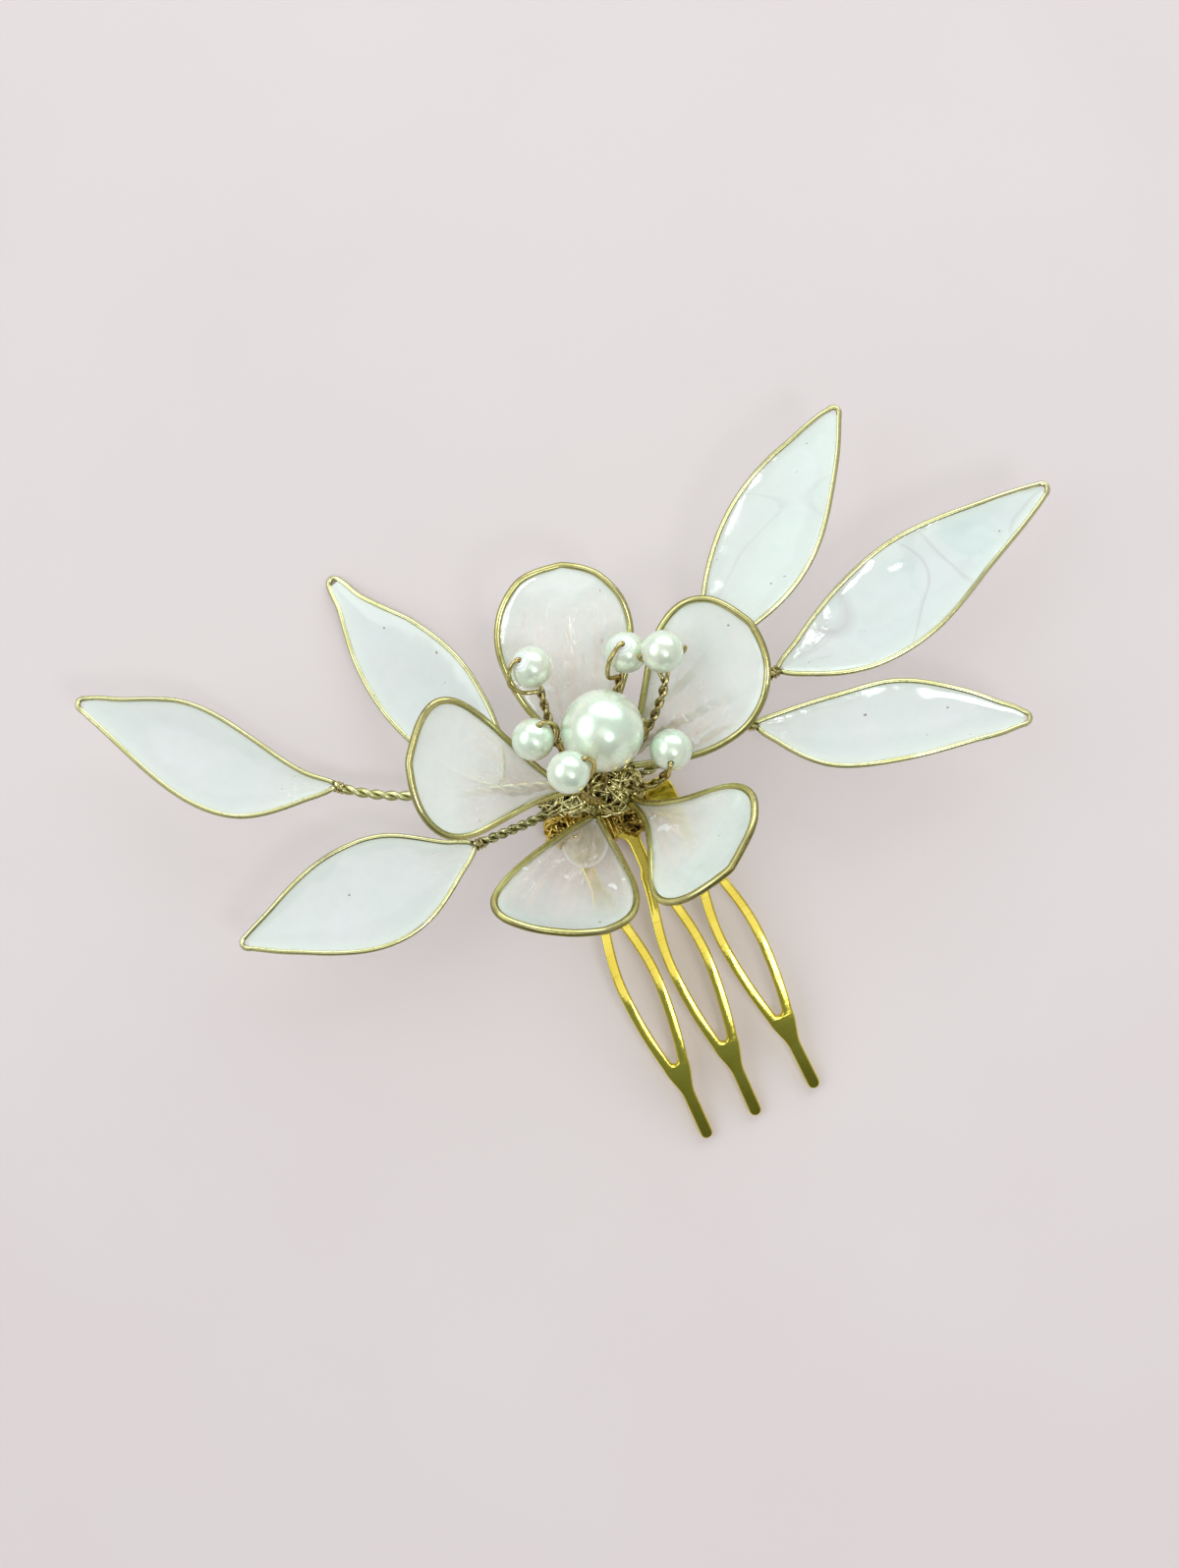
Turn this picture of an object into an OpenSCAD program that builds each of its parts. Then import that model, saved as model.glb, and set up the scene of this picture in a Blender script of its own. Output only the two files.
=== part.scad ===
// Floral hair comb: a gilt three-tine comb that carries a wire and resin flower, six leaves and seven pearls.
// Millimetres. +X runs along the comb's spine, the tines point to -Y and the flower looks up, to +Z.
// The origin is on the table, under the middle of the spine's back edge.

/* [Comb] */
// Width of the spine along X
spine_w = 15.2; // [15:0.1:16]
// Height of the spine band, from its back edge to the roots of the tines
spine_h = 4; // [3.8:0.1:4.4]
// Reach from the spine's back edge to the tips of the tines
comb_reach = 44; // [42:0.1:47]
// Thickness of the stamped sheet
sheet_t = 1; // [0.8:0.05:1.2]
// Rise of the arch that the comb is bent to
arch_rise = 3.5; // [3:0.1:4]
// Height of the spine's back edge above the table
back_lift = 0.55; // [0.5:0.05:0.7]
// Distance between the roots of two tines
tine_pitch = 6.35; // [6.2:0.05:6.4]
// Width of one arm of a tine
arm_w = 1.15; // [1:0.05:1.3]
// Half the width of a tine's eye at its widest, between arm centres
eye_half = 2.3; // [2.1:0.05:2.4]
// Width of the single bar at a tine's tip
tip_bar_w = 1.55; // [1.4:0.05:1.7]
// Width of the single bar at a tine's root
root_bar_w = 1.6; // [1.5:0.05:1.8]

/* [Wire] */
// Wire of the petals
petal_wire_d = 0.75; // [0.65:0.05:0.85]
// Wire of the leaves
leaf_wire_d = 0.6; // [0.5:0.05:0.7]
// Wire that carries the pearls
pearl_wire_d = 0.36; // [0.3:0.02:0.4]
// Wire that binds the comb
binding_wire_d = 0.36; // [0.3:0.02:0.4]
// Radius of the small bend at a leaf's tip
leaf_tip_r = 0.5; // [0.45:0.05:0.6]

/* [Resin] */
// Thickness of the resin in a petal
petal_film_t = 0.45; // [0.35:0.05:0.55]
// Thickness of the resin in a leaf
leaf_film_t = 0.4; // [0.3:0.05:0.5]
// Clearance between the resin and its wire
film_gap = 0.1; // [0.08:0.01:0.15]
// Diameter of the drop of clear glue on the spine
glue_d = 5.2; // [4.4:0.1:5.4]

/* [Pearls] */
// Diameter of the centre pearl
big_pearl_d = 9.8; // [9.2:0.1:10]
// Diameter of a small pearl
small_pearl_d = 5; // [4.8:0.05:5.1]
// Drilled hole through a pearl
pearl_bore_d = 0.8; // [0.7:0.05:1]

/* [Knot] */
// Radius of the knot of bound stems
knot_r = 2.2; // [2:0.05:2.3]
// Height of the knot's foot above the table
knot_z = 2.3; // [2.2:0.05:2.5]
// Height of the knot
knot_h = 6.5; // [6.2:0.1:6.6]

/* [Hidden] */
GOLD = "#d2aa32";
WIRE_GOLD = "#b5a15c";
RESIN = "#eef0ea";
PEARL = "#f4f3ea";

// Where the stems are bound together, above the back edge of the spine
knot_at = [-0.5, 1.8];

// Centre of the drop of glue, and its height over the spine: it lies on the binding
glue_at = [-5.6, -4.1];
glue_lift = 1.02;

// Tines: place of the root and of the tip, counted in pitches from the middle of the comb
//         root   tip
tines = [[-1.02, -1.12],
         [0.04, -0.05],
         [1, 1.24]];

// Loops of wire. base and tip are points in space. A side's two handles are [along, out, up], as shares of
// the length from base to tip. foot is where the twisted stem meets the knot: [bearing, height, rise].
//        base               tip
//            left inner, left outer, right inner, right outer, foot
petals = [[[-1.1, 5.9, 8.1], [6, 28, 13],
               [0.25, 0.28, 0], [0.95, 0.65, 0.05], [0.25, -0.2, 0], [0.9, -0.6, 0.05], [98, 7.6, 15]],
          [[3.7, 3.1, 8.3], [23.3, 12.1, 15.5],
               [0.3, 0.1, 0], [1, 0.7, 0.05], [0.3, -0.3, 0], [0.85, -0.55, 0.05], [15, 7.6, 20]],
          [[-4.3, 3.4, 8.4], [-19.7, 14, 20],
               [0.4, 0.1, 0], [0.8, 0.8, 0.05], [0.35, 0, 0], [1, -0.8, 0.05], [160, 7.4, 30]],
          [[-3, -1.1, 8.7], [-11, -11, 28],
               [0.4, 0.2, 0], [0.8, 0.6, 0], [0.4, -0.2, 0], [1.2, -0.75, 0], [228, 7.2, 50]],
          [[1.9, -1.2, 8.7], [8.2, -12.2, 28],
               [0.4, 0, 0], [0.9, 0.85, 0], [0.5, 0, 0], [0.65, -0.75, 0], [308, 7.2, 50]]];

leaves = [[[-30.5, 16, 7], [-54.2, 38.2, 9],
               [0.35, 0.4, 0], [0.6, 0.2, 0.05], [0.45, -0.05, 0], [0.5, -0.25, 0.05], [150, 6, 0]],
          [[-12, 7.5, 4.4], [-20.7, 40.3, 0.4],
               [0.3, 0.25, 0], [0.7, 0.15, 0.05], [0.3, -0.3, 0], [0.65, -0.15, 0.05], [128, 4.5, 0]],
          [[-18, 2, 7], [-48.5, 3, 9],
               [0.35, 0.4, 0], [0.65, 0.2, 0.05], [0.4, -0.3, 0], [0.55, -0.25, 0.05], [182, 5.4, 0]],
          [[18, 11.3, 9], [44, 31.3, 12],
               [0.3, 0.25, 0], [0.75, 0.2, 0.05], [0.4, -0.25, 0], [0.65, -0.2, 0.05], [62, 5.6, 10]],
          [[25, 5.8, 9], [63.6, 12.2, 10],
               [0.35, 0.2, 0], [0.65, 0.15, 0.05], [0.25, -0.3, 0], [0.7, -0.15, 0.05], [28, 5, 10]],
          [[19.7, 0.8, 9], [49.9, -12.4, 10],
               [0.35, 0.15, 0], [0.65, 0.25, 0.05], [0.25, -0.3, 0], [0.7, -0.1, 0.05], [352, 5.6, 10]]];

// Pearls: centre, bearing and rise of the bore, bearing and rise in which the stem leaves, bend of the stem,
// its foot on the knot, slack of the wire beside the pearl and its swing to one side above it
//         centre            bore        stem         bend             foot         slack  swing
pearls = [[[-2.3, 18.3, 15.3], [117, 57], [265, -36], [-4.6, 6.9, 11.4], [-1.4, 3.2], 0.9, -3.6],
          [[-5.7, 10.4, 17], [44, 50], [327, -45], [-3.2, 5.2, 11], [-2.1, 1.7], 0.5, 0],
          [[-3.5, 5.1, 22], [20, 30], [272, -57], [-2.2, 0.4, 12.5], [-1.4, 0.5], 0.4, 0],
          [[8.6, 15.2, 14.5], [100, 60], [231, -38], [3.2, 8.4, 10.6], [0.1, 3.6], 0.7, -3.2],
          [[12.3, 13.3, 18], [346, 0], [252, -31], [5.8, 4.2, 11.4], [1.1, 2.6], 0.5, 0],
          [[8.5, 2.5, 16], [236, 50], [234, -44], [3.4, -0.4, 10.5], [0.9, 1], 0.6, 0]];
big_pearl = [[2.1, 7.9, 16.5], [350, 0], [245, -55], [0.2, 3, 10.3], [-0.3, 2.1], 0.3, 0];

loop_steps = 15;
film_rows = 12;
film_cols = 4;
twist_turns_per_mm = 1 / 4.8;
pearl_twist_per_mm = 1 / 3;
twist_rings = 6;
joint_gap = 0.3;

// Vectors and curves

function unit(v) = v / norm(v);

function bearing(a, rise = 0) = [cos(a) * cos(rise), sin(a) * cos(rise), sin(rise)];

function reversed(list) = [for (i = [len(list) - 1:-1:0]) list[i]];

function curve(p, t) =
    pow(1 - t, 3) * p[0] + 3 * pow(1 - t, 2) * t * p[1] + 3 * (1 - t) * t * t * p[2] + pow(t, 3) * p[3];

// Shares from 0 to 1 that crowd together at both ends
function eased(i, n) = (1 - cos(180 * i / n)) / 2;

function path_length(path, last) =
    last <= 0 ? 0 : norm(path[last] - path[last - 1]) + path_length(path, last - 1);

// Direction of a path at each of its points
function headings(path) =
    [for (i = [0:len(path) - 1])
        unit(path[min(i + 1, len(path) - 1)] - path[max(i - 1, 0)])];

// One sideways vector per point, carried along the path without twisting
function carried(dirs, start) =
    [for (i = 0, u = unit(start - (start * dirs[0]) * dirs[0]);
          i < len(dirs);
          i = i + 1, u = i < len(dirs) ? unit(u - (u * dirs[i]) * dirs[i]) : u) u];

// A round wire along a path, as one closed mesh
module wire(path, d, sides, start) {
    dirs = headings(path);
    ups = carried(dirs, start);
    rings = len(path);
    points = [for (i = [0:rings - 1]) for (k = [0:sides - 1])
        path[i] + d / 2 * (cos(360 * k / sides) * ups[i] + sin(360 * k / sides) * cross(dirs[i], ups[i]))];
    skin = [for (i = [0:rings - 2]) for (k = [0:sides - 1])
        let (a = i * sides + k, b = i * sides + (k + 1) % sides)
        each [[a, a + sides, b + sides], [a, b + sides, b]]];
    polyhedron(points, concat(skin,
        [[for (k = [0:sides - 1]) k]],
        [[for (k = [sides - 1:-1:0]) (rings - 1) * sides + k]]));
}

// One of the two strands that turn round each other along a stem
function strand(stem, start, d, turns_per_mm, side) =
    let (dirs = headings(stem), ups = carried(dirs, start))
    [for (i = [0:len(stem) - 1])
        let (a = 360 * turns_per_mm * path_length(stem, i))
        stem[i] + side * 0.56 * d * (cos(a) * ups[i] + sin(a) * cross(dirs[i], ups[i]))];

function stem_points(p, turns_per_mm) =
    let (rough = [for (i = [0:12]) curve(p, i / 12)],
         n = max(4, ceil(path_length(rough, 12) * turns_per_mm * twist_rings)))
    [for (i = [0:n]) curve(p, i / n)];

// A wire that comes up one strand of a stem, goes round a head and returns by the other strand
function doubled_wire(stem, head, start, d, turns_per_mm) =
    concat(reversed(strand(stem, start, d, turns_per_mm, 1)), head, strand(stem, start, d, turns_per_mm, -1));

// Loops of wire and the resin in them

function axis_of(row) = unit(row[1] - row[0]);
function out_of(row) = unit(cross([0, 0, 1], axis_of(row)));
function up_of(row) = cross(axis_of(row), out_of(row));

function handle(row, h) =
    row[0] + norm(row[1] - row[0]) * (h[0] * axis_of(row) + h[1] * out_of(row) + h[2] * up_of(row));

// Edge of a loop: side is 1 for the left and -1 for the right
function edge(row, side, spread, tip_r, t) =
    curve([row[0] + side * spread * out_of(row),
           handle(row, row[side > 0 ? 2 : 4]),
           handle(row, row[side > 0 ? 3 : 5]),
           row[1] + tip_r * (side * out_of(row) - axis_of(row))], t);

function tip_bend(row, tip_r) =
    tip_r == 0 ? [row[1]] :
    [for (a = [60:-30:-60]) row[1] + tip_r * (cos(a) * axis_of(row) + sin(a) * out_of(row) - axis_of(row))];

function loop_head(row, d, tip_r) =
    let (left = [for (i = [2:loop_steps - 1]) edge(row, 1, 0.56 * d, tip_r, eased(i, loop_steps))],
         right = [for (i = [2:loop_steps - 1]) edge(row, -1, 0.56 * d, tip_r, eased(i, loop_steps))],
         joined = tip_r == 0 ? [] : [edge(row, 1, 0.56 * d, tip_r, 1)],
         joined_back = tip_r == 0 ? [] : [edge(row, -1, 0.56 * d, tip_r, 1)])
    concat(left, joined, tip_bend(row, tip_r), joined_back, reversed(right));

function knot_foot(row, d) =
    [knot_at[0], knot_at[1], row[6][1]] + (knot_r + joint_gap + d / 2) * bearing(row[6][0]);

function loop_stem(row, d) =
    let (base = row[0],
         foot = knot_foot(row, d),
         reach = norm(base - foot) / 3)
    [base, base - reach * axis_of(row), foot + reach * bearing(row[6][0], row[6][2]), foot];

module loop_wire(row, d, sides, tip_r) {
    stem = stem_points(loop_stem(row, d), twist_turns_per_mm);
    wire(doubled_wire(stem, loop_head(row, d, tip_r), out_of(row), d, twist_turns_per_mm), d, sides, up_of(row));
}

// Rim of the resin: the loop's edge moved inwards, clear of the wire
function rim(row, side, d, tip_r, t) =
    let (here = edge(row, side, 0.56 * d, tip_r, t),
         way = unit(edge(row, side, 0.56 * d, tip_r, t + 0.01) - edge(row, side, 0.56 * d, tip_r, t - 0.01)),
         inward = side * unit(cross(way, up_of(row))))
    here + (d / 2 + film_gap) * inward;

module resin(row, d, thick, tip_r, first, last, sag) {
    rows = film_rows;
    cols = film_cols;
    up = up_of(row);
    sheet = [for (i = [0:rows])
        let (t = first + (last - first) * eased(i, rows),
             a = rim(row, 1, d, tip_r, t),
             b = rim(row, -1, d, tip_r, t))
        for (k = [0:cols])
            a + (b - a) * k / cols - sag * norm(b - a) * sin(180 * k / cols) * up];
    size = len(sheet);
    points = concat([for (p = sheet) p + thick / 2 * up], [for (p = sheet) p - thick / 2 * up]);
    faces = [for (i = [0:rows - 1]) for (k = [0:cols - 1])
        let (a = i * (cols + 1) + k, b = a + 1, c = a + cols + 1, e = c + 1)
        each [[a, c, b], [b, c, e], [size + a, size + b, size + c], [size + b, size + e, size + c]]];
    border = concat([for (k = [0:cols]) k],
                    [for (i = [1:rows]) i * (cols + 1) + cols],
                    [for (k = [cols - 1:-1:0]) rows * (cols + 1) + k],
                    [for (i = [rows - 1:-1:1]) i * (cols + 1)]);
    wall = [for (i = [0:len(border) - 1])
        let (a = border[i], b = border[(i + 1) % len(border)])
        each [[a, b, size + b], [a, size + b, size + a]]];
    polyhedron(points, concat(faces, wall));
}

module petal_wire(k) {
    color(WIRE_GOLD) loop_wire(petals[k], petal_wire_d, 6, 0);
}

module petal_resin(k) {
    color(RESIN, 0.7) resin(petals[k], petal_wire_d, petal_film_t, 0, 0.1, 0.97, 0.04);
}

module leaf_wire(k) {
    color(WIRE_GOLD) loop_wire(leaves[k], leaf_wire_d, 5, leaf_tip_r);
}

module leaf_resin(k) {
    color(RESIN, 0.7) resin(leaves[k], leaf_wire_d, leaf_film_t, leaf_tip_r, 0.07, 0.965, 0.05);
}

// Pearls and the wires that carry them

function bore_of(row) = bearing(row[1][0], row[1][1]);
function hang_of(row) = bearing(row[2][0], row[2][1]);

// The bore's direction, squared to the direction in which the stem leaves the pearl
function cross_bore(row) = unit(bore_of(row) - (bore_of(row) * hang_of(row)) * hang_of(row));

function pearl_neck(row, d) = row[0] + (d / 2 + 0.9) * hang_of(row);

function pearl_stem(row, d) =
    let (neck = pearl_neck(row, d),
         foot = [row[4][0], row[4][1], knot_z + knot_h + joint_gap])
    [neck, neck + 2.5 * hang_of(row), row[3], foot];

// Half of the wire's way from the neck of the stem round to the mouth of the bore
function pearl_side(row, d, side) =
    let (b = side * cross_bore(row),
         mouth = d / 2 + 0.35,
         out = (mouth + row[5]) * b,
         swing = side > 0 ? row[6] * cross(b, hang_of(row)) : [0, 0, 0])
    [for (i = [1:6])
        curve([pearl_neck(row, d) + 0.56 * pearl_wire_d * b,
               pearl_neck(row, d) + out - 1.4 * hang_of(row) + swing,
               row[0] + out + swing / 2,
               row[0] + mouth * b], i / 6)];

function pearl_head(row, d) =
    concat(pearl_side(row, d, 1),
           [row[0] + 0.3 * d * cross_bore(row), row[0] - 0.3 * d * cross_bore(row)],
           reversed(pearl_side(row, d, -1)));

module pearl(row, d) {
    b = cross_bore(row);
    color(PEARL) translate(row[0]) rotate([0, acos(b[2]), atan2(b[1], b[0])]) difference() {
        sphere(d = d, $fn = 48);
        cylinder(d = pearl_bore_d, h = 2 * d, center = true, $fn = 24);
    }
}

module pearl_wire(row, d) {
    stem = stem_points(pearl_stem(row, d), pearl_twist_per_mm);
    color(WIRE_GOLD) wire(
        doubled_wire(stem, pearl_head(row, d), cross_bore(row), pearl_wire_d, pearl_twist_per_mm),
        pearl_wire_d, 5, cross(cross_bore(row), hang_of(row)));
}

// Comb

arch_r = (pow(comb_reach / 2, 2) + pow(arch_rise, 2)) / (2 * arch_rise);
arch_y = -comb_reach / 2 + back_lift * arch_r / comb_reach;
arch_z = back_lift - sqrt(pow(arch_r, 2) - pow(arch_y, 2));
gusset_y = spine_h + 2.4;
neck_y = spine_h + 5.4;
split_y = spine_h + 6.6;
widest_y = spine_h + 18.2;
eye_end_y = comb_reach - 10.5;
bar_y = comb_reach - 6.2;

// Half the distance between a tine's arm centres, at a distance from the spine's back edge
function eye_spread(y) =
    y < split_y ? arm_w / 2 :
    y < widest_y ? arm_w / 2 + (eye_half - arm_w / 2) * pow(sin(90 * (y - split_y) / (widest_y - split_y)), 1.5)
                 : eye_half - 1.25 * pow((y - widest_y) / (eye_end_y - widest_y), 1.8);

function blended(x, from, to) = from + (to - from) * x * x * (3 - 2 * x);

// Half the width of a tine's outside
function tine_half(y) =
    y <= gusset_y ? root_bar_w / 2 + 1.9 * pow((gusset_y - y) / (gusset_y - spine_h), 2.2) :
    y <= neck_y ? root_bar_w / 2 :
    y <= split_y ? blended((y - neck_y) / (split_y - neck_y), root_bar_w / 2, arm_w) :
    y <= eye_end_y ? eye_spread(y) + arm_w / 2 :
    y <= bar_y ? blended((y - eye_end_y) / (bar_y - eye_end_y), eye_spread(eye_end_y) + arm_w / 2, tip_bar_w / 2) :
    tip_bar_w / 2;

function tine_x(row, y) =
    tine_pitch * (row[0] + (row[1] - row[0]) * (y - spine_h) / (comb_reach - spine_h));

outline_steps = concat([for (i = [0:4]) spine_h + (gusset_y - spine_h) * i / 4],
                       [for (i = [0:3]) neck_y + (split_y - neck_y) * i / 3],
                       [for (i = [1:10]) split_y + (eye_end_y - split_y) * i / 10],
                       [for (i = [1:4]) eye_end_y + (bar_y - eye_end_y) * i / 4],
                       [comb_reach - tip_bar_w / 2]);

module tine_outline(row) {
    last = comb_reach - tip_bar_w / 2;
    polygon(concat(
        [[tine_x(row, spine_h) - tine_half(spine_h), -spine_h + 0.5]],
        [for (y = outline_steps) [tine_x(row, y) - tine_half(y), -y]],
        [for (a = [210:30:330]) [tine_x(row, last), -last] + tip_bar_w / 2 * [cos(a), sin(a)]],
        [for (y = reversed(outline_steps)) [tine_x(row, y) + tine_half(y), -y]],
        [[tine_x(row, spine_h) + tine_half(spine_h), -spine_h + 0.5]]));
}

module eye_outline(row) {
    top_y = split_y + 0.6;
    steps = [for (i = [1:11]) top_y + (eye_end_y - 0.6 - top_y) * i / 11];
    floor_y = steps[len(steps) - 1];
    floor_r = eye_spread(floor_y) - arm_w / 2;
    polygon(concat(
        [[tine_x(row, top_y), -top_y]],
        [for (y = steps) [tine_x(row, y) - eye_spread(y) + arm_w / 2, -y]],
        [for (a = [216:36:324]) [tine_x(row, floor_y), -floor_y] + floor_r * [cos(a), sin(a)]],
        [for (y = reversed(steps)) [tine_x(row, y) + eye_spread(y) - arm_w / 2, -y]]));
}

module spine_outline() {
    corner = 1.8;
    translate([-spine_w / 2 + corner, -spine_h]) square([spine_w - 2 * corner, spine_h]);
    translate([-spine_w / 2, -spine_h]) square([spine_w, spine_h - corner]);
    for (side = [-1, 1])
        translate([side * (spine_w / 2 - corner), -corner]) circle(r = corner, $fn = 32);
}

module comb() {
    tall = 12;
    color(GOLD) intersection() {
        difference() {
            union() {
                linear_extrude(tall) spine_outline();
                for (row = tines) linear_extrude(tall) tine_outline(row);
            }
            for (row = tines) translate([0, 0, -1]) linear_extrude(tall + 2) eye_outline(row);
        }
        translate([0, arch_y, arch_z]) rotate([0, 90, 0]) difference() {
            cylinder(r = arch_r + sheet_t, h = 2 * spine_w, center = true, $fn = 180);
            cylinder(r = arch_r, h = 3 * spine_w, center = true, $fn = 180);
        }
    }
}

// Binding: one wire wound round the spine, between and beside the tines

binding_turns = [-4.7, -4.2, -3.7, -3.2, -2.7, -2.2, -1.7, 2.1, 2.6, 3.1, 3.6];
binding_steps = 10;
binding_y = -spine_h / 2 - 0.7;
binding_tilt = asin((binding_y - arch_y) / arch_r);

function lobe(v) = sign(v) * sqrt(abs(v));

function binding_point(i) =
    let (turn = floor(i / binding_steps),
         a = 360 * (i % binding_steps) / binding_steps,
         next = binding_turns[min(turn + 1, len(binding_turns) - 1)],
         top = max(0, min(1, (a - 180) / 180)),
         y = (spine_h / 2 + 1.5) * lobe(cos(a)),
         z = -(sheet_t / 2 + binding_wire_d / 2 + 0.36) * lobe(sin(a)))
    [binding_turns[turn] + (next - binding_turns[turn]) * top,
     binding_y + y * cos(binding_tilt) + z * sin(binding_tilt),
     arch_z + (arch_r + sheet_t / 2) * cos(binding_tilt) - y * sin(binding_tilt) + z * cos(binding_tilt)];

module comb_binding() {
    last = (len(binding_turns) - 1) * binding_steps + 6;
    color(GOLD) wire([for (i = [0:last]) binding_point(i)], binding_wire_d, 5, [1, 0, 0]);
}

// Knot and glue

module flower_knot() {
    edge_r = 0.9;
    color(WIRE_GOLD) translate([knot_at[0], knot_at[1], knot_z]) rotate_extrude($fn = 48) {
        square([knot_r - edge_r, knot_h]);
        translate([0, edge_r]) square([knot_r, knot_h - 2 * edge_r]);
        for (z = [edge_r, knot_h - edge_r])
            translate([knot_r - edge_r, z]) circle(r = edge_r, $fn = 32);
    }
}

module glue_drop() {
    dome = 1.1;
    dome_r = (pow(glue_d / 2, 2) + dome * dome) / (2 * dome);
    tilt = asin((glue_at[1] - arch_y) / arch_r);
    color(RESIN, 0.5) translate([glue_at[0], arch_y, arch_z]) rotate([-tilt, 0, 0])
        translate([0, 0, arch_r + sheet_t + glue_lift]) intersection() {
            translate([0, 0, dome - dome_r]) sphere(r = dome_r, $fn = 48);
            cylinder(r = glue_d, h = 2 * dome, $fn = 48);
        }
}

comb();
comb_binding();
flower_knot();
glue_drop();
for (k = [0:4]) {
    petal_wire(k);
    petal_resin(k);
}
for (k = [0:5]) {
    leaf_wire(k);
    leaf_resin(k);
}
pearl(big_pearl, big_pearl_d);  // pearl_centre
pearl_wire(big_pearl, big_pearl_d);  // pearl_centre_wire
for (k = [0:5]) {
    pearl(pearls[k], small_pearl_d);
    pearl_wire(pearls[k], small_pearl_d);
}
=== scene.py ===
"""Floral hair comb: a gilt three-tine comb with petals and leaves of wire and milky resin.
Pearls stand round its middle on stems of twisted wire.

Sizes in the tables are millimetres in the frame of the CAD model. Meshes are made in metres.
"""
import math

import bpy
import numpy as np
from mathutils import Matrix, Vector, noise


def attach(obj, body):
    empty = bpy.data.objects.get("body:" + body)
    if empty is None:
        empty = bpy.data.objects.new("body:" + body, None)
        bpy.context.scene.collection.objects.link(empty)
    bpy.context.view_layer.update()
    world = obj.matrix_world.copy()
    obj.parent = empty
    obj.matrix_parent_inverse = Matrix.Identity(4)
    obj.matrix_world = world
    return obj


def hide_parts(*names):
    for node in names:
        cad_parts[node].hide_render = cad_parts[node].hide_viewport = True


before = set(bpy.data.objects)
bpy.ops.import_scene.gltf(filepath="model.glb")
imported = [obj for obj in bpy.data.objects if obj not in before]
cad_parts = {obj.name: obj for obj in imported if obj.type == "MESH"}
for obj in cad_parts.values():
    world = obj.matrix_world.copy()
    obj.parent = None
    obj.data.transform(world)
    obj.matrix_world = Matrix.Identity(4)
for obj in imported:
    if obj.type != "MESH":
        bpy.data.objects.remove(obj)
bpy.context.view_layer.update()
MM = 0.001

# Wires, films and pearls
PETAL_WIRE = 0.75
COATED_PETAL_WIRE = 0.88
LEAF_WIRE = 0.6
COATED_LEAF_WIRE = 0.66
PEARL_WIRE = 0.54
BINDING_WIRE = 0.34
LEAF_TIP = 0.75
PETAL_FILM = 0.45
LEAF_FILM = 0.4
BIG_PEARL = 9.8
SMALL_PEARL = 5.0
PEARL_BORE = 0.62
PEARL_STEP = 0.16
STRAND_SHARE = 0.53
LOOP_TURNS = 1 / 3.6
TIGHT_TURNS = 1 / 2.6
STEM_TURNS = 1 / 3.3
FILM_ROWS = 84
FILM_COLS = 32
FILM_CLIMB = 0.32
FILM_THIN = 0.36
FILM_GRIP = 0.4
RIM_FADE = 0.7
RIPPLES_PER_MM = 0.16
# Painted edge shade: the sides of loop wires darken as they turn away from the loop's up.
EDGE_START = 0.84
EDGE_SPAN = 0.56
EDGE_SHADE_DARKEST = 0.74

# Knot of bound stems
KNOT_AT = (-0.5, 1.8)
KNOT_R = 2.2
KNOT_HIGH = 8.8
TANGLE_WIRE = 0.34
WRAPPING_WIRE = 0.3
TAIL_WIRE = 0.26
COLLAR_WIRE = 0.34
COLLAR_R = 0.6
COLLAR_RUN = (0.1, 1.3)

# Loops: base and tip, and the handles of the left and right sides as shares of the length [along, out, up].
# foot is where the stem meets the knot: bearing, height and rise.
# fade is the share of a petal, from its base, that is clearer than the rest.
# bows are how far hand bending moved each side sideways, at the shares in BOW_AT.
# tarnish is how dark a stem is, and turns is how tightly it is twisted.
BOW_AT = (0, 0.1, 0.3, 0.5, 0.7, 0.8, 0.9, 1)
PETALS = [
    dict(base=(-1.1, 5.9, 8.1), tip=(6, 28, 13), foot=(98, 7.6, 15), fade=0.8,
         bows=((0, 0, 0.35, 0.2, -0.3, -0.25, 0.3, 0), (0, 0, 0, 0.1, 0.4, 0.5, 0.15, 0)),
         left=((0.25, 0.28, 0), (0.95, 0.65, 0.05)), right=((0.25, -0.2, 0), (0.9, -0.6, 0.05))),
    dict(base=(3.7, 3.1, 8.3), tip=(23.3, 12.1, 15.5), foot=(15, 7.6, 20), fade=0.62,
         bows=((0, 0, 0.05, 0.45, 0.2, 0.1, 0.3, 0), (0, 0, -0.4, -0.3, 0.15, 0.2, 0, 0)),
         left=((0.3, 0.1, 0), (1, 0.7, 0.05)), right=((0.3, -0.3, 0), (0.85, -0.55, 0.05))),
    dict(base=(-4.3, 3.4, 8.4), tip=(-19.7, 14, 20), foot=(160, 7.4, 30), fade=0.62,
         bows=((0, 0, -0.15, -0.2, -0.8, -0.8, -0.4, 0), (0, 0, 0, 0.1, 0, -0.2, -0.3, 0)),
         left=((0.4, 0.1, 0), (0.8, 0.8, 0.05)), right=((0.35, 0, 0), (1, -0.8, 0.05))),
    dict(base=(-3, -1.1, 8.7), tip=(-11, -11, 28), foot=(228, 7.2, 50), fade=0.72,
         bows=((0, 0, -0.15, -0.4, -0.7, -0.7, -0.2, 0), (0, -0.2, -0.15, 0.05, 0, 0, 0.3, 0)),
         left=((0.4, 0.2, 0), (0.8, 0.6, 0)), right=((0.4, -0.2, 0), (1.2, -0.75, 0))),
    dict(base=(1.9, -1.2, 8.7), tip=(8.2, -12.2, 28), foot=(308, 7.2, 50), fade=0.62,
         bows=((0, 0, -0.2, 0.2, -0.5, -0.6, 0, 0), (0, 0.2, 0.35, 0.2, 0.4, 0.35, 0, 0)),
         left=((0.4, 0, 0), (0.9, 0.85, 0)), right=((0.5, 0, 0), (0.65, -0.75, 0)))]

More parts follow.
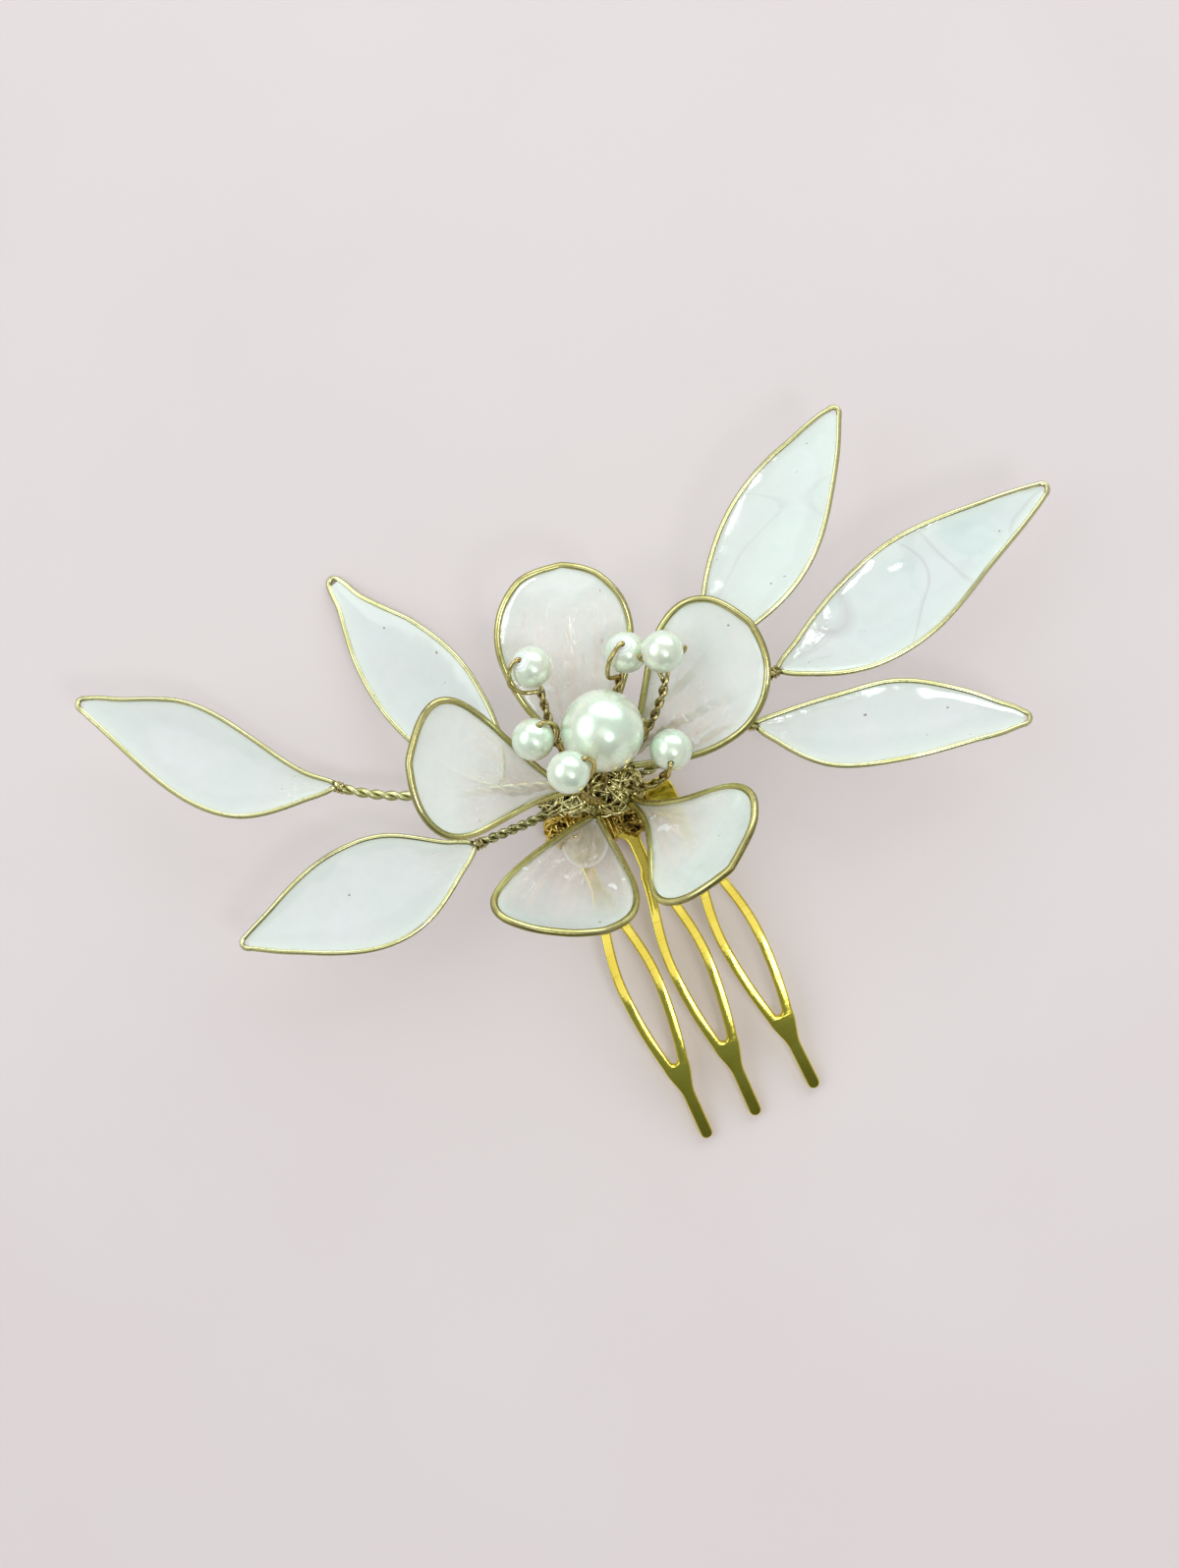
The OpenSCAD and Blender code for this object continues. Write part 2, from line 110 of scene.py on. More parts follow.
LEAVES = [
    dict(base=(-30.5, 16, 7), tip=(-54.2, 38.2, 9), foot=(150, 6, 0), tarnish=0.25,
         bows=((0, -0.45, -0.05, -0.15, -0.2, -0.2, -0.15, 0), (0, 0.45, 0.25, 0.2, 0.15, 0.4, 0.55, 0)),
         left=((0.35, 0.4, 0), (0.6, 0.2, 0.05)), right=((0.45, -0.05, 0), (0.5, -0.25, 0.05))),
    dict(base=(-12, 7.5, 4.4), tip=(-20.7, 40.3, 0.4), foot=(128, 4.5, 0),
         bows=((0, 0, 0, 0.1, -0.05, -0.35, -0.5, 0), (0, 0, 0.3, -0.05, 0, 0.4, 0.6, 0)),
         left=((0.3, 0.25, 0), (0.7, 0.15, 0.05)), right=((0.3, -0.3, 0), (0.65, -0.15, 0.05))),
    dict(base=(-18, 2, 7), tip=(-48.5, 3, 9), foot=(182, 5.4, 0), turns=TIGHT_TURNS,
         bows=((0, -0.6, -0.25, -0.1, -0.1, -0.1, 0.05, 0), (0, 0.7, 0.25, 0.4, 0.3, 0.25, 0.25, 0)),
         left=((0.35, 0.4, 0), (0.65, 0.2, 0.05)), right=((0.4, -0.3, 0), (0.55, -0.25, 0.05))),
    dict(base=(18, 11.3, 9), tip=(44, 31.3, 12), foot=(62, 5.6, 10),
         bows=((0, 0, -0.05, -0.05, -0.4, -0.6, -0.35, 0), (0, 0, -0.2, 0, 0.35, 0.3, 0.1, 0)),
         left=((0.3, 0.25, 0), (0.75, 0.2, 0.05)), right=((0.4, -0.25, 0), (0.65, -0.2, 0.05))),
    dict(base=(25, 5.8, 9), tip=(63.6, 12.2, 10), foot=(28, 5, 10),
         bows=((0, -0.5, -0.4, -0.15, -0.35, -0.4, -0.2, 0), (0, 0.4, 0.1, 0.15, 0.8, 0.65, 0.3, 0)),
         left=((0.35, 0.2, 0), (0.65, 0.15, 0.05)), right=((0.25, -0.3, 0), (0.7, -0.15, 0.05))),
    dict(base=(19.7, 0.8, 9), tip=(49.9, -12.4, 10), foot=(352, 5.6, 10),
         bows=((0, -0.15, -0.45, -0.25, -0.75, -0.8, -0.65, 0), (0, 0.5, 0.05, 0.25, 0.2, 0.1, -0.15, 0)),
         left=((0.35, 0.15, 0), (0.65, 0.25, 0.05)), right=((0.25, -0.3, 0), (0.7, -0.1, 0.05)))]

# Pearls: the centre, then bearing and rise of the bore and of the stem where it leaves the pearl.
# bend and foot are points on the stem, slack is the slack of the wire beside the pearl.
# under is how far the wire dips below the pearl on its way, and ringed pearls get a painted white highlight
# with thin dark rings round their drilled mouth.
PEARLS = [
    dict(at=(-2.3, 18.3, 15.3), bore=(128, 50), hang=(265, -36), bend=(-4.6, 6.9, 11.4),
         foot=(-1.4, 3.2), slack=0.5, under=0.6, painted_mouth_highlight=True),
    dict(at=(-5.7, 10.4, 17), bore=(40, 43), hang=(327, -45), bend=(-3.2, 5.2, 11),
         foot=(-2.1, 1.7), slack=0.2),
    dict(at=(-3.5, 5.1, 22), bore=(16, 23), hang=(272, -57), bend=(-2.2, 0.4, 12.5),
         foot=(-1.4, 0.5), slack=0.3),
    dict(at=(8.6, 15.2, 14.5), bore=(96, 66), hang=(231, -38), bend=(3.2, 8.4, 10.6),
         foot=(0.1, 3.6), slack=0.7, painted_mouth_highlight=True),
    dict(at=(12.3, 13.3, 18), bore=(346, 0), hang=(252, -31), bend=(5.8, 4.2, 11.4),
         foot=(1.1, 2.6), slack=0, under=1.1),
    dict(at=(8.5, 2.5, 16), bore=(241, 48), hang=(234, -44), bend=(3.4, -0.4, 10.5),
         foot=(0.9, 1), slack=0.3)]
CENTRE_PEARL = dict(at=(2.1, 7.9, 16.5), bore=(350, 0), hang=(245, -55), bend=(0.2, 3, 10.3),
                    foot=(-0.3, 2.1), slack=0.1)

# Comb
SPINE_W = 15.2
SPINE_H = 4.0
REACH = 44.0
SHEET = 1.0
ARCH_RISE = 3.5
BACK_LIFT = 0.55
PITCH = 6.35
ARM_W = 1.25
EYE_HALF = 2.3
TIP_W = 1.55
ROOT_W = 1.6
CORNER = 1.8
TINES = [(-1.02, -1.12), (0.04, -0.05), (1.0, 1.24)]
ARCH_R = ((REACH / 2) ** 2 + ARCH_RISE ** 2) / (2 * ARCH_RISE)
ARCH_Y = -REACH / 2 + BACK_LIFT * ARCH_R / REACH
ARCH_Z = BACK_LIFT - math.sqrt(ARCH_R ** 2 - ARCH_Y ** 2)


# Vectors and curves

def vec(values):
    return np.array(values, float)


def unit(v):
    return v / np.linalg.norm(v)


def bearing(angle, rise=0.0):
    """The direction at an angle from +X and a rise over the table, both in degrees."""
    a, r = math.radians(angle), math.radians(rise)
    return vec((math.cos(a) * math.cos(r), math.sin(a) * math.cos(r), math.sin(r)))


def bezier(p, t):
    t = np.atleast_1d(t)[:, None]
    return (1 - t) ** 3 * p[0] + 3 * (1 - t) ** 2 * t * p[1] + 3 * (1 - t) * t * t * p[2] + t ** 3 * p[3]


def eased(n):
    """Shares from 0 to 1 that lie closer together near both ends."""
    return (1 - np.cos(np.pi * np.arange(n + 1) / n)) / 2


def bowed(t, bows):
    """The sideways shift at a share t of a side, on a smooth line through the entries."""
    t = np.atleast_1d(t)
    at, put = vec(BOW_AT), vec(bows)
    slope = np.zeros(len(at))
    slope[1:-1] = (put[2:] - put[:-2]) / (at[2:] - at[:-2])
    k = np.clip(np.searchsorted(at, t, side="right"), 1, len(at) - 1)
    gap = at[k] - at[k - 1]
    x = (t - at[k - 1]) / gap
    start = put[k - 1] * (1 + 2 * x) * (1 - x) ** 2 + slope[k - 1] * gap * x * (1 - x) ** 2
    return start + put[k] * x * x * (3 - 2 * x) + slope[k] * gap * x * x * (x - 1)


def headings(path):
    """The direction of a path at each of its points."""
    ahead = np.vstack([path[1:], path[-1:]])
    behind = np.vstack([path[:1], path[:-1]])
    way = ahead - behind
    return way / np.linalg.norm(way, axis=1)[:, None]


def arc(x, y, r, first, last, step):
    """Points of an arc round a centre, from one angle to another in degrees."""
    angles = np.radians(np.arange(first, last + step / 2, step))
    return [(x + r * math.cos(a), y + r * math.sin(a)) for a in angles]


def carried(ways, start):
    """One sideways vector per point, carried along without twisting."""
    out = []
    up = start
    for way in ways:
        up = unit(up - np.dot(up, way) * way)
        out.append(up)
    return np.array(out)


def lengths(path):
    """How far along its path each point is."""
    return np.concatenate([[0], np.cumsum(np.linalg.norm(np.diff(path, axis=0), axis=1))])


def respaced(path, step):
    """The same path with points at an even distance."""
    run = lengths(path)
    n = max(4, int(round(run[-1] / step)))
    at = np.linspace(0, run[-1], n + 1)
    return np.stack([np.interp(at, run, path[:, k]) for k in range(3)], axis=1)


def strand(stem, start, offset, turns_per_mm, phase):
    """One of the wires that turn round each other along a stem."""
    ways = headings(stem)
    ups = carried(ways, start)
    turn = 2 * np.pi * turns_per_mm * lengths(stem)[:, None] + phase
    return stem + offset * (np.cos(turn) * ups + np.sin(turn) * np.cross(ways, ups))


def doubled(stem, start, offset, turns_per_mm, head, dark, head_dark):
    """A wire up one strand of a stem, along its head and back by the other strand, with its darkness."""
    there, back = (strand(stem, start, offset, turns_per_mm, phase) for phase in (0, np.pi))
    shades = [np.full(len(there), dark), np.full(len(head), head_dark), np.full(len(back), dark)]
    return np.vstack([there[::-1], head, back]), np.concatenate(shades)


class Loop:
    """Geometry of one petal's or leaf's wire loop."""

    def __init__(self, row, wire, tip_r):
        self.base, self.tip = vec(row["base"]), vec(row["tip"])
        self.wire, self.tip_r = wire, tip_r
        self.size = np.linalg.norm(self.tip - self.base)
        self.axis = unit(self.tip - self.base)
        self.out = unit(np.cross((0, 0, 1), self.axis))
        self.up = np.cross(self.axis, self.out)
        self.row = row

    def handle(self, h):
        """A point given in shares of the loop's length: along it, out to its left and up."""
        return self.base + self.size * (h[0] * self.axis + h[1] * self.out + h[2] * self.up)

    def side(self, side, t):
        """Points of the left side (1) or the right side (-1), at shares t of the way to the tip."""
        inner, outer = self.row["left" if side > 0 else "right"]
        spread = 0.56 * self.wire
        line = bezier([self.base + side * spread * self.out, self.handle(inner), self.handle(outer),
                       self.tip + self.tip_r * (side * self.out - self.axis)], t)
        return line + bowed(t, self.row["bows"][0 if side > 0 else 1])[:, None] * self.out

    def head(self):
        """The loop from the base up the left side and down the right one."""
        t = eased(90)[2:]
        left, right = self.side(1, t), self.side(-1, t)
        bend = []
        if self.tip_r:
            for a in np.radians(np.arange(75, -76, -15)):
                way = math.cos(a) * self.axis + math.sin(a) * self.out
                bend.append(self.tip + self.tip_r * (way - self.axis))
        else:
            left = left[:-1]
            bend = [self.tip]
            right = right[:-1]
        return respaced(np.vstack([left, bend, right[::-1]]), 0.45)

    def stem(self):
        """The middle line of the stem, from the loop's base to the knot."""
        angle, height, rise = self.row["foot"]
        foot = vec((*KNOT_AT, height)) + (KNOT_R - 0.3) * bearing(angle)
        reach = np.linalg.norm(self.base - foot) / 3
        p = [self.base, self.base - reach * self.axis, foot + reach * bearing(angle, rise), foot]
        return respaced(bezier(p, np.linspace(0, 1, 80)), 0.3)

    def path(self):
        """The whole wire, with a tarnished stem and a clean loop."""
        turns = self.row.get("turns", LOOP_TURNS)
        return doubled(self.stem(), self.out, STRAND_SHARE * self.wire, turns, self.head(),
                       self.row.get("tarnish", 1.0), 0.0)


# Meshes

def placed(name, data):
    """A new object in the scene for a mesh, curve, light or camera."""
    obj = bpy.data.objects.new(name, data)
    bpy.context.scene.collection.objects.link(obj)
    return obj


def make_object(name, verts, faces, smooth=True):
    mesh = bpy.data.meshes.new(name)
    mesh.from_pydata([tuple(v) for v in verts], [], faces)
    mesh.validate()
    if smooth:
        mesh.shade_smooth()
    return placed(name, mesh)


def write_layer(mesh, name, values):
    """Keeps one number per point under a name that a material reads."""
    layer = mesh.attributes.new(name, "FLOAT", "POINT")
    layer.data.foreach_set("value", np.array(values, np.float32))


def shell_faces(rows, wide, ends, border):
    """Faces of two equal sheets, one over the other, joined by a wall along the border of the upper one."""
    size = (rows + 1) * wide
    faces = []
    for i in range(rows):
        for k in range(ends):
            a, b = i * wide + k, i * wide + (k + 1) % wide
            faces.append((a, a + wide, b + wide, b))
            faces.append((size + a, size + b, size + b + wide, size + a + wide))
    for a, b in zip(border, border[1:] + border[:1]):
        faces.append((a, b, size + b, size + a))
    return faces


def edge_path(name, paths):
    """Loose edges along one or more paths, each given as points and darkness, for the trees to sweep."""
    verts, edges, dark = [], [], []
    for points, shade in paths:
        first = len(verts)
        verts.extend(tuple(p * MM) for p in points)
        edges.extend((first + i, first + i + 1) for i in range(len(points) - 1))
        dark.extend(shade)
    mesh = bpy.data.meshes.new(name)
    mesh.from_pydata(verts, edges, [])
    write_layer(mesh, "dark", dark)
    return placed(name, mesh)


def frozen(obj):
    """A plain mesh of what an object looks like with its modifiers or its filled curves."""
    bpy.context.view_layer.update()
    graph = bpy.context.evaluated_depsgraph_get()
    return bpy.data.meshes.new_from_object(obj.evaluated_get(graph), depsgraph=graph)


def baked(obj, tree, values, material):
    """Runs a tree on an object and keeps the result as a plain mesh."""
    modifier = obj.modifiers.new(tree.name, "NODES")
    modifier.node_group = tree
    sockets = {s.name: s.identifier for s in tree.interface.items_tree if s.in_out == "INPUT"}
    for name, value in values.items():
        modifier[sockets[name]] = value
    modifier[sockets["Material"]] = material
    obj.update_tag()
    mesh = frozen(obj)
    obj.modifiers.clear()
    old = obj.data
    obj.data = mesh
    mesh.name = obj.name
    bpy.data.meshes.remove(old)
    return obj


# Node trees

class Nodes:
    """Short calls for building a node tree, with its patterns read at self.place."""

    def __init__(self, tree):
        self.tree = tree

    def put(self, socket, value):
        """Links an output to a socket, or sets the socket's own value."""
        if isinstance(value, bpy.types.NodeSocket):
            self.tree.links.new(value, socket)
        elif socket.type == "RGBA":
            socket.default_value = (*value, 1)
        else:
            socket.default_value = value

    def add(self, kind, inputs=None, **settings):
        node = self.tree.nodes.new(kind)
        for key, value in settings.items():
            setattr(node, key, value)
        for name, value in (inputs or {}).items():
            self.put(node.inputs[name], value)
        return node

    def fed(self, kind, inputs=None, out=0, **settings):
        """Adds a node, feeds its inputs and gives one of its outputs."""
        return self.add(kind, inputs, **settings).outputs[out]

    def math(self, operation, a, b=0.0, clamp=False):
        return self.fed("ShaderNodeMath", {0: a, 1: b}, operation=operation, use_clamp=clamp)

    def plus(self, a, share, b, clamp=False):
        """A value with a share of another added to it."""
        return self.fed("ShaderNodeMath", {0: b, 1: share, 2: a}, operation="MULTIPLY_ADD", use_clamp=clamp)

    def both(self, a, b):
        """What two masks have in common."""
        return self.math("MULTIPLY", a, b, clamp=True)

    def vector(self, operation, a, b):
        return self.fed("ShaderNodeVectorMath", {0: a, 1: b}, operation=operation)

    def scaled(self, a, factor):
        return self.fed("ShaderNodeVectorMath", {0: a, "Scale": factor}, operation="SCALE")

    def noise(self, scale, detail=3.0, roughness=0.55):
        return self.fed("ShaderNodeTexNoise", {"Vector": self.place, "Scale": scale, "Detail": detail,
                                               "Roughness": roughness}, "Fac")

    def between(self, value, low, high, new_low=0.0, new_high=1.0):
        """Brings a value from one range to another and holds it at the ends."""
        return self.fed("ShaderNodeMapRange", {"Value": value, "From Min": low, "From Max": high,
                                               "To Min": new_low, "To Max": new_high})

    def line_at(self, value, middle, width, strength=1.0):
        """A thin line where a value passes a middle one."""
        apart = self.math("ABSOLUTE", self.math("SUBTRACT", value, middle))
        return self.between(apart, 0.0, width, strength, 0.0)

    def blend(self, share, a, b):
        return self.fed("ShaderNodeMix", {0: share, 6: a, 7: b}, 2, data_type="RGBA")


class Group(Nodes):
    """A node group under construction, with the kinds of its named inputs and outputs."""

    def __init__(self, name, kind, inputs, outputs):
        super().__init__(bpy.data.node_groups.new(name, kind))
        for way, sockets in (("INPUT", inputs), ("OUTPUT", outputs)):
            for label, socket in sockets.items():
                self.tree.interface.new_socket(label, in_out=way, socket_type="NodeSocket" + socket)
        self.given = self.add("NodeGroupInput").outputs
        self.place = self.given.get("Place")

    def flow_noise(self, stretch, detail, distortion=0.0):
        """Noise on a film's own map, drawn out along the film."""
        place = self.fed("ShaderNodeMapping", {"Vector": self.given["Flow"], "Scale": (*stretch, 1.0)})
        return self.fed("ShaderNodeTexNoise", {"Vector": place, "Scale": 1.0, "Detail": detail,
                                               "Distortion": distortion}, "Fac", noise_dimensions="2D")

    def finish(self, **results):
        self.add("NodeGroupOutput", results)
        return self.tree


# Geometry Nodes trees

WIRE_SIZES = {"Thickness": "Float", "Sides": "Int", "Wander": "Float", "Wander Scale": "Float",
              "Seed": "Float"}
COIL_SIZES = {"Coil Radius": "Float", "Turns Per Metre": "Float", "Steps Per Metre": "Float"}


def wire_group(name, sizes):
    return Group(name, "GeometryNodeTree", {"Geometry": "Geometry", **sizes, "Material": "Material"},
                 {"Geometry": "Geometry"})


def wandered(t, curve):
    """Moves a curve's points a little by smooth noise, as hand-bent wire wanders."""
    grain = t.fed("ShaderNodeTexNoise", {"Vector": t.fed("GeometryNodeInputPosition"), "Detail": 1.0,
                                         "Scale": t.given["Wander Scale"], "W": t.given["Seed"]},
                  "Color", noise_dimensions="4D")
    push = t.scaled(t.vector("SUBTRACT", grain, (0.5, 0.5, 0.5)), t.given["Wander"])
    return t.fed("GeometryNodeSetPosition", {"Geometry": curve, "Offset": push})


def swept(t, curve):
    """Sweeps a round section along a curve, smooth, real and with its material."""
    radius = t.math("MULTIPLY", t.given["Thickness"], 0.5)
    section = {"Resolution": t.given["Sides"], "Radius": radius}
    ring = t.fed("GeometryNodeCurvePrimitiveCircle", section, "Curve", mode="RADIUS")
    wire = t.fed("GeometryNodeCurveToMesh", {"Curve": curve, "Profile Curve": ring, "Fill Caps": True})
    smooth = t.fed("GeometryNodeSetShadeSmooth", {"Geometry": wire})
    real = t.fed("GeometryNodeRealizeInstances", {0: smooth})
    return t.fed("GeometryNodeSetMaterial", {"Geometry": real, "Material": t.given["Material"]})


def wire_tree():
    """Round wire along a path."""
    t = wire_group("wire_along_path", WIRE_SIZES)
    curve = t.fed("GeometryNodeMeshToCurve", {0: t.given["Geometry"]})
    return t.finish(Geometry=swept(t, wandered(t, curve)))


def winding_tree():
    """Fine wire wound round a core path, with an uneven radius."""
    t = wire_group("winding_round_path", {**WIRE_SIZES, **COIL_SIZES})
    curve = t.fed("GeometryNodeMeshToCurve", {0: t.given["Geometry"]})
    step = t.math("DIVIDE", 1.0, t.given["Steps Per Metre"])
    dense = t.fed("GeometryNodeResampleCurve", {"Curve": curve, "Length": step}, mode="LENGTH")
    along = t.fed("GeometryNodeSplineParameter", out="Length")
    angle = t.math("MULTIPLY", t.math("MULTIPLY", along, t.given["Turns Per Metre"]), 2 * math.pi)
    side = t.fed("GeometryNodeInputNormal")
    across = t.vector("CROSS_PRODUCT", t.fed("GeometryNodeInputTangent"), side)
    ring = t.vector("ADD", t.scaled(side, t.math("COSINE", angle)), t.scaled(across, t.math("SINE", angle)))
    push = t.scaled(ring, t.given["Coil Radius"])
    coil = t.fed("GeometryNodeSetPosition", {"Geometry": dense, "Offset": push})
    return t.finish(Geometry=swept(t, wandered(t, coil)))


WIRE_TREE = wire_tree()
WINDING_TREE = winding_tree()


# Effects that several materials share

def worn_gold_and_shade_effect():
    """Colour and roughness of handled gold: patches, fine streaks and dark tarnish, and the painted shade
    that the edge input and, in the knot, the darkness input carry.
    """
    e = Group("worn_gold", "ShaderNodeTree",
              {"Bright": "Color", "Deep": "Color", "Tarnish": "Color", "Dark": "Float", "Edge": "Float",
               "Smoothest": "Float", "Roughening": "Float", "Patch Scale": "Float", "Fine Scale": "Float",
               "Place": "Vector"},
              {"Colour": "Color", "Roughness": "Float", "Height": "Float"})
    given = e.given
    patches = e.between(e.noise(given["Patch Scale"], 3.0, 0.5), 0.38, 0.62)
    fine = e.noise(given["Fine Scale"], 4.0, 0.5)
    body = e.blend(patches, given["Bright"], given["Deep"])
    speckled = e.math("MULTIPLY", given["Dark"], e.between(fine, 0.3, 0.62))
    # Edge is painted shade along the sides of loop wires.
    tarnish_and_edge_shade = e.math("MAXIMUM", speckled, given["Edge"])
    dark = e.plus(tarnish_and_edge_shade, 0.35, e.between(fine, 0.56, 0.72), clamp=True)
    rough = e.plus(given["Smoothest"], given["Roughening"], patches)
    return e.finish(Colour=e.blend(dark, body, given["Tarnish"]), Roughness=e.plus(rough, 0.2, dark),
                    Height=fine)


def milky_film_effect():
    """Milky resin: whiter and denser near the wire, clearer and streaky at the base, with soft waves, a
    peach base tint that is partly painted warm glow, and painted glints on its creases and flakes.
    """
    e = Group("milky_film", "ShaderNodeTree",
              {"Milk": "Color", "Warm": "Color", "Clear Low": "Float", "Clear High": "Float",
               "Base Clear": "Float", "Blush": "Float", "Swirl": "Float", "Wave Scale": "Float",
               "Rim": "Float", "Thin": "Float", "Flow": "Vector", "Place": "Vector"},
              {"Colour": "Color", "Alpha": "Float", "Roughness": "Float", "Height": "Float"})
    given = e.given
    rim, thin, blush, swirl = given["Rim"], given["Thin"], given["Blush"], given["Swirl"]
    clouds = e.noise(150.0)
    streaks = e.flow_noise((14.0, 1.6), 3.0)
    curls = e.fed("ShaderNodeTexNoise", {"Vector": e.place, "Scale": 38.0, "Detail": 1.0, "Roughness": 0.4,
                                         "Distortion": 1.6}, "Fac")

    tone = e.blend(e.between(clouds, 0.35, 0.65), given["Milk"], given["Warm"])
    tone = e.blend(e.math("MULTIPLY", e.between(curls, 0.47, 0.52), swirl), tone, (0.79, 0.85, 0.83))
    tone = e.blend(e.math("MULTIPLY", e.line_at(curls, 0.56, 0.012), swirl), tone, (0.60, 0.60, 0.60))
    specks = e.between(e.noise(1500.0, 0.0), 0.865, 0.885)
    tone = e.blend(specks, tone, (0.25, 0.2, 0.14))
    # Peach tint at the clear base: partly the resin's own tint, partly painted warm glow of light reflected
    # from the gold.
    base = e.both(thin, e.between(streaks, 0.4, 0.62, 0.35, 0.9))
    tone = e.blend(e.math("MULTIPLY", base, blush), tone, (0.98, 0.73, 0.64))
    hair = e.both(e.line_at(e.flow_noise((24.0, 2.2), 3.0, 0.5), 0.5, 0.012), e.between(thin, 0.15, 0.45))
    hair = e.both(hair, e.between(e.noise(260.0, 1.0), 0.5, 0.6))
    tone = e.blend(hair, tone, (0.55, 0.38, 0.25))
    crease_with_painted_glint = e.both(e.line_at(e.flow_noise((5.0, 3.0), 4.0, 1.2), 0.5, 0.016), e.between(thin, 0.1, 0.5))
    crease_with_painted_glint = e.both(crease_with_painted_glint, e.between(e.noise(210.0, 1.0), 0.48, 0.58))
    # Painted highlight: creases and flakes are tinted near white as glints of the crumpled resin.
    tone = e.blend(crease_with_painted_glint, tone, (0.97, 0.95, 0.86))
    painted_flake_glint = e.both(e.between(e.noise(620.0, 1.0), 0.69, 0.71, 0.0, blush), e.between(thin, 0.25, 0.45))
    tone = e.blend(painted_flake_glint, tone, (1.0, 1.0, 0.98))
    tone = e.blend(e.math("MULTIPLY", rim, 0.8), tone, (0.84, 0.94, 0.82))

    body = e.between(e.noise(300.0, 4.0), 0.3, 0.7, given["Clear Low"], given["Clear High"])
    base_clear = given["Base Clear"]
    opened = e.between(streaks, 0.35, 0.7, base_clear, e.math("MULTIPLY", base_clear, 0.85))
    alpha = e.math("SUBTRACT", body, e.math("MULTIPLY", thin, opened), clamp=True)
    alpha = e.plus(alpha, 0.25, rim, clamp=True)
    alpha = e.plus(alpha, 0.35, e.math("MAXIMUM", crease_with_painted_glint, painted_flake_glint), clamp=True)
    alpha = e.plus(alpha, 0.3, hair, clamp=True)

    swirled = e.math("GREATER_THAN", swirl, 0.0)
    ripples = e.noise(given["Wave Scale"], 1.0)
    waves = e.fed("ShaderNodeMix", {0: swirled, 2: ripples, 3: curls}, data_type="FLOAT")
    loose = e.plus(e.math("MULTIPLY", thin, 0.3), 0.12, rim)
    height = e.plus(e.plus(waves, 0.25, crease_with_painted_glint), loose, e.noise(650.0, 2.0))
    rough = e.between(clouds, 0.3, 0.7, 0.04, 0.1)
    return e.finish(Colour=tone, Alpha=alpha, Roughness=rough, Height=height)


WORN_GOLD_AND_SHADE = worn_gold_and_shade_effect()
MILKY_FILM = milky_film_effect()


# Materials

class Paint(Nodes):
    """A material under construction."""

    def __init__(self, name):
        self.material = bpy.data.materials.new(name)
        self.material.use_nodes = True
        super().__init__(self.material.node_tree)
        self.shader = self.tree.nodes["Principled BSDF"]
        self.place = self.fed("ShaderNodeTexCoord", out="Object")

    def group(self, tree, values):
        """Places an effect with this material's own values and gives its outputs."""
        return self.add("ShaderNodeGroup", values, node_tree=tree).outputs

    def attribute(self, name):
        return self.fed("ShaderNodeAttribute", out="Fac", attribute_name=name)

    def bump(self, height, strength, distance):
        bumped = self.fed("ShaderNodeBump", {"Height": height, "Strength": strength, "Distance": distance})
        self.put(self.shader.inputs["Normal"], bumped)

    def set(self, **values):
        for name, value in values.items():
            self.put(self.shader.inputs[name.replace("_", " ")], value)


def gold_material(name, bright, deep, tarnish, patch_scale, fine_scale, tarnish_and_shade=True, bump=0.15, depth=0.00003,
                  edge=(0.7, 0.6, 0.35), smoothest=0.12, roughening=0.2, brushed=None):
    """Gold that reads the darkness and the painted edge shade along a wire when told to, or fine brushed
    lines when given a stretch.
    """
    p = Paint(name)
    place = p.place
    if brushed:
        place = p.fed("ShaderNodeMapping", {"Vector": place, "Scale": brushed})
    gold = p.group(WORN_GOLD_AND_SHADE, {"Bright": bright, "Deep": deep, "Tarnish": tarnish,
                               "Dark": p.attribute("dark") if tarnish_and_shade else 0.0,
                               "Edge": p.attribute("edge") if tarnish_and_shade else 0.0,
                               "Smoothest": smoothest, "Roughening": roughening,
                               "Patch Scale": patch_scale, "Fine Scale": fine_scale, "Place": place})
    p.set(Base_Color=gold["Colour"], Roughness=gold["Roughness"], Metallic=1.0, Specular_Tint=edge)
    p.bump(gold["Height"], bump, depth)
    return p.material


def film_material(name, milk, warm, clear, base_clear, ripple=0.25, wave_scale=120.0, swirl=0.0,
                  passing=0.2, blush=0.2):
    """A glossy film of milky resin. passing is the share of its shadow that it casts."""
    p = Paint(name)
    film = p.group(MILKY_FILM, {"Milk": milk, "Warm": warm, "Clear Low": clear[0], "Clear High": clear[1],
                                "Base Clear": base_clear, "Blush": blush, "Swirl": swirl,
                                "Wave Scale": wave_scale, "Rim": p.attribute("rim"),
                                "Thin": p.attribute("thin"), "Place": p.place,
                                "Flow": p.fed("ShaderNodeUVMap", uv_map="flow")})
    path = p.add("ShaderNodeLightPath").outputs
    through = p.math("MAXIMUM", path["Is Shadow Ray"], path["Is Diffuse Ray"])
    p.set(Base_Color=film["Colour"], Roughness=film["Roughness"], Subsurface_Weight=0.3,
          Subsurface_Scale=0.001, Subsurface_Radius=(1.0, 1.0, 0.9), Specular_IOR_Level=0.8,
          Alpha=p.math("MULTIPLY", film["Alpha"], p.between(through, 0.0, 1.0, 1.0, passing)))
    p.bump(film["Height"], ripple, 0.0009)
    return p.material


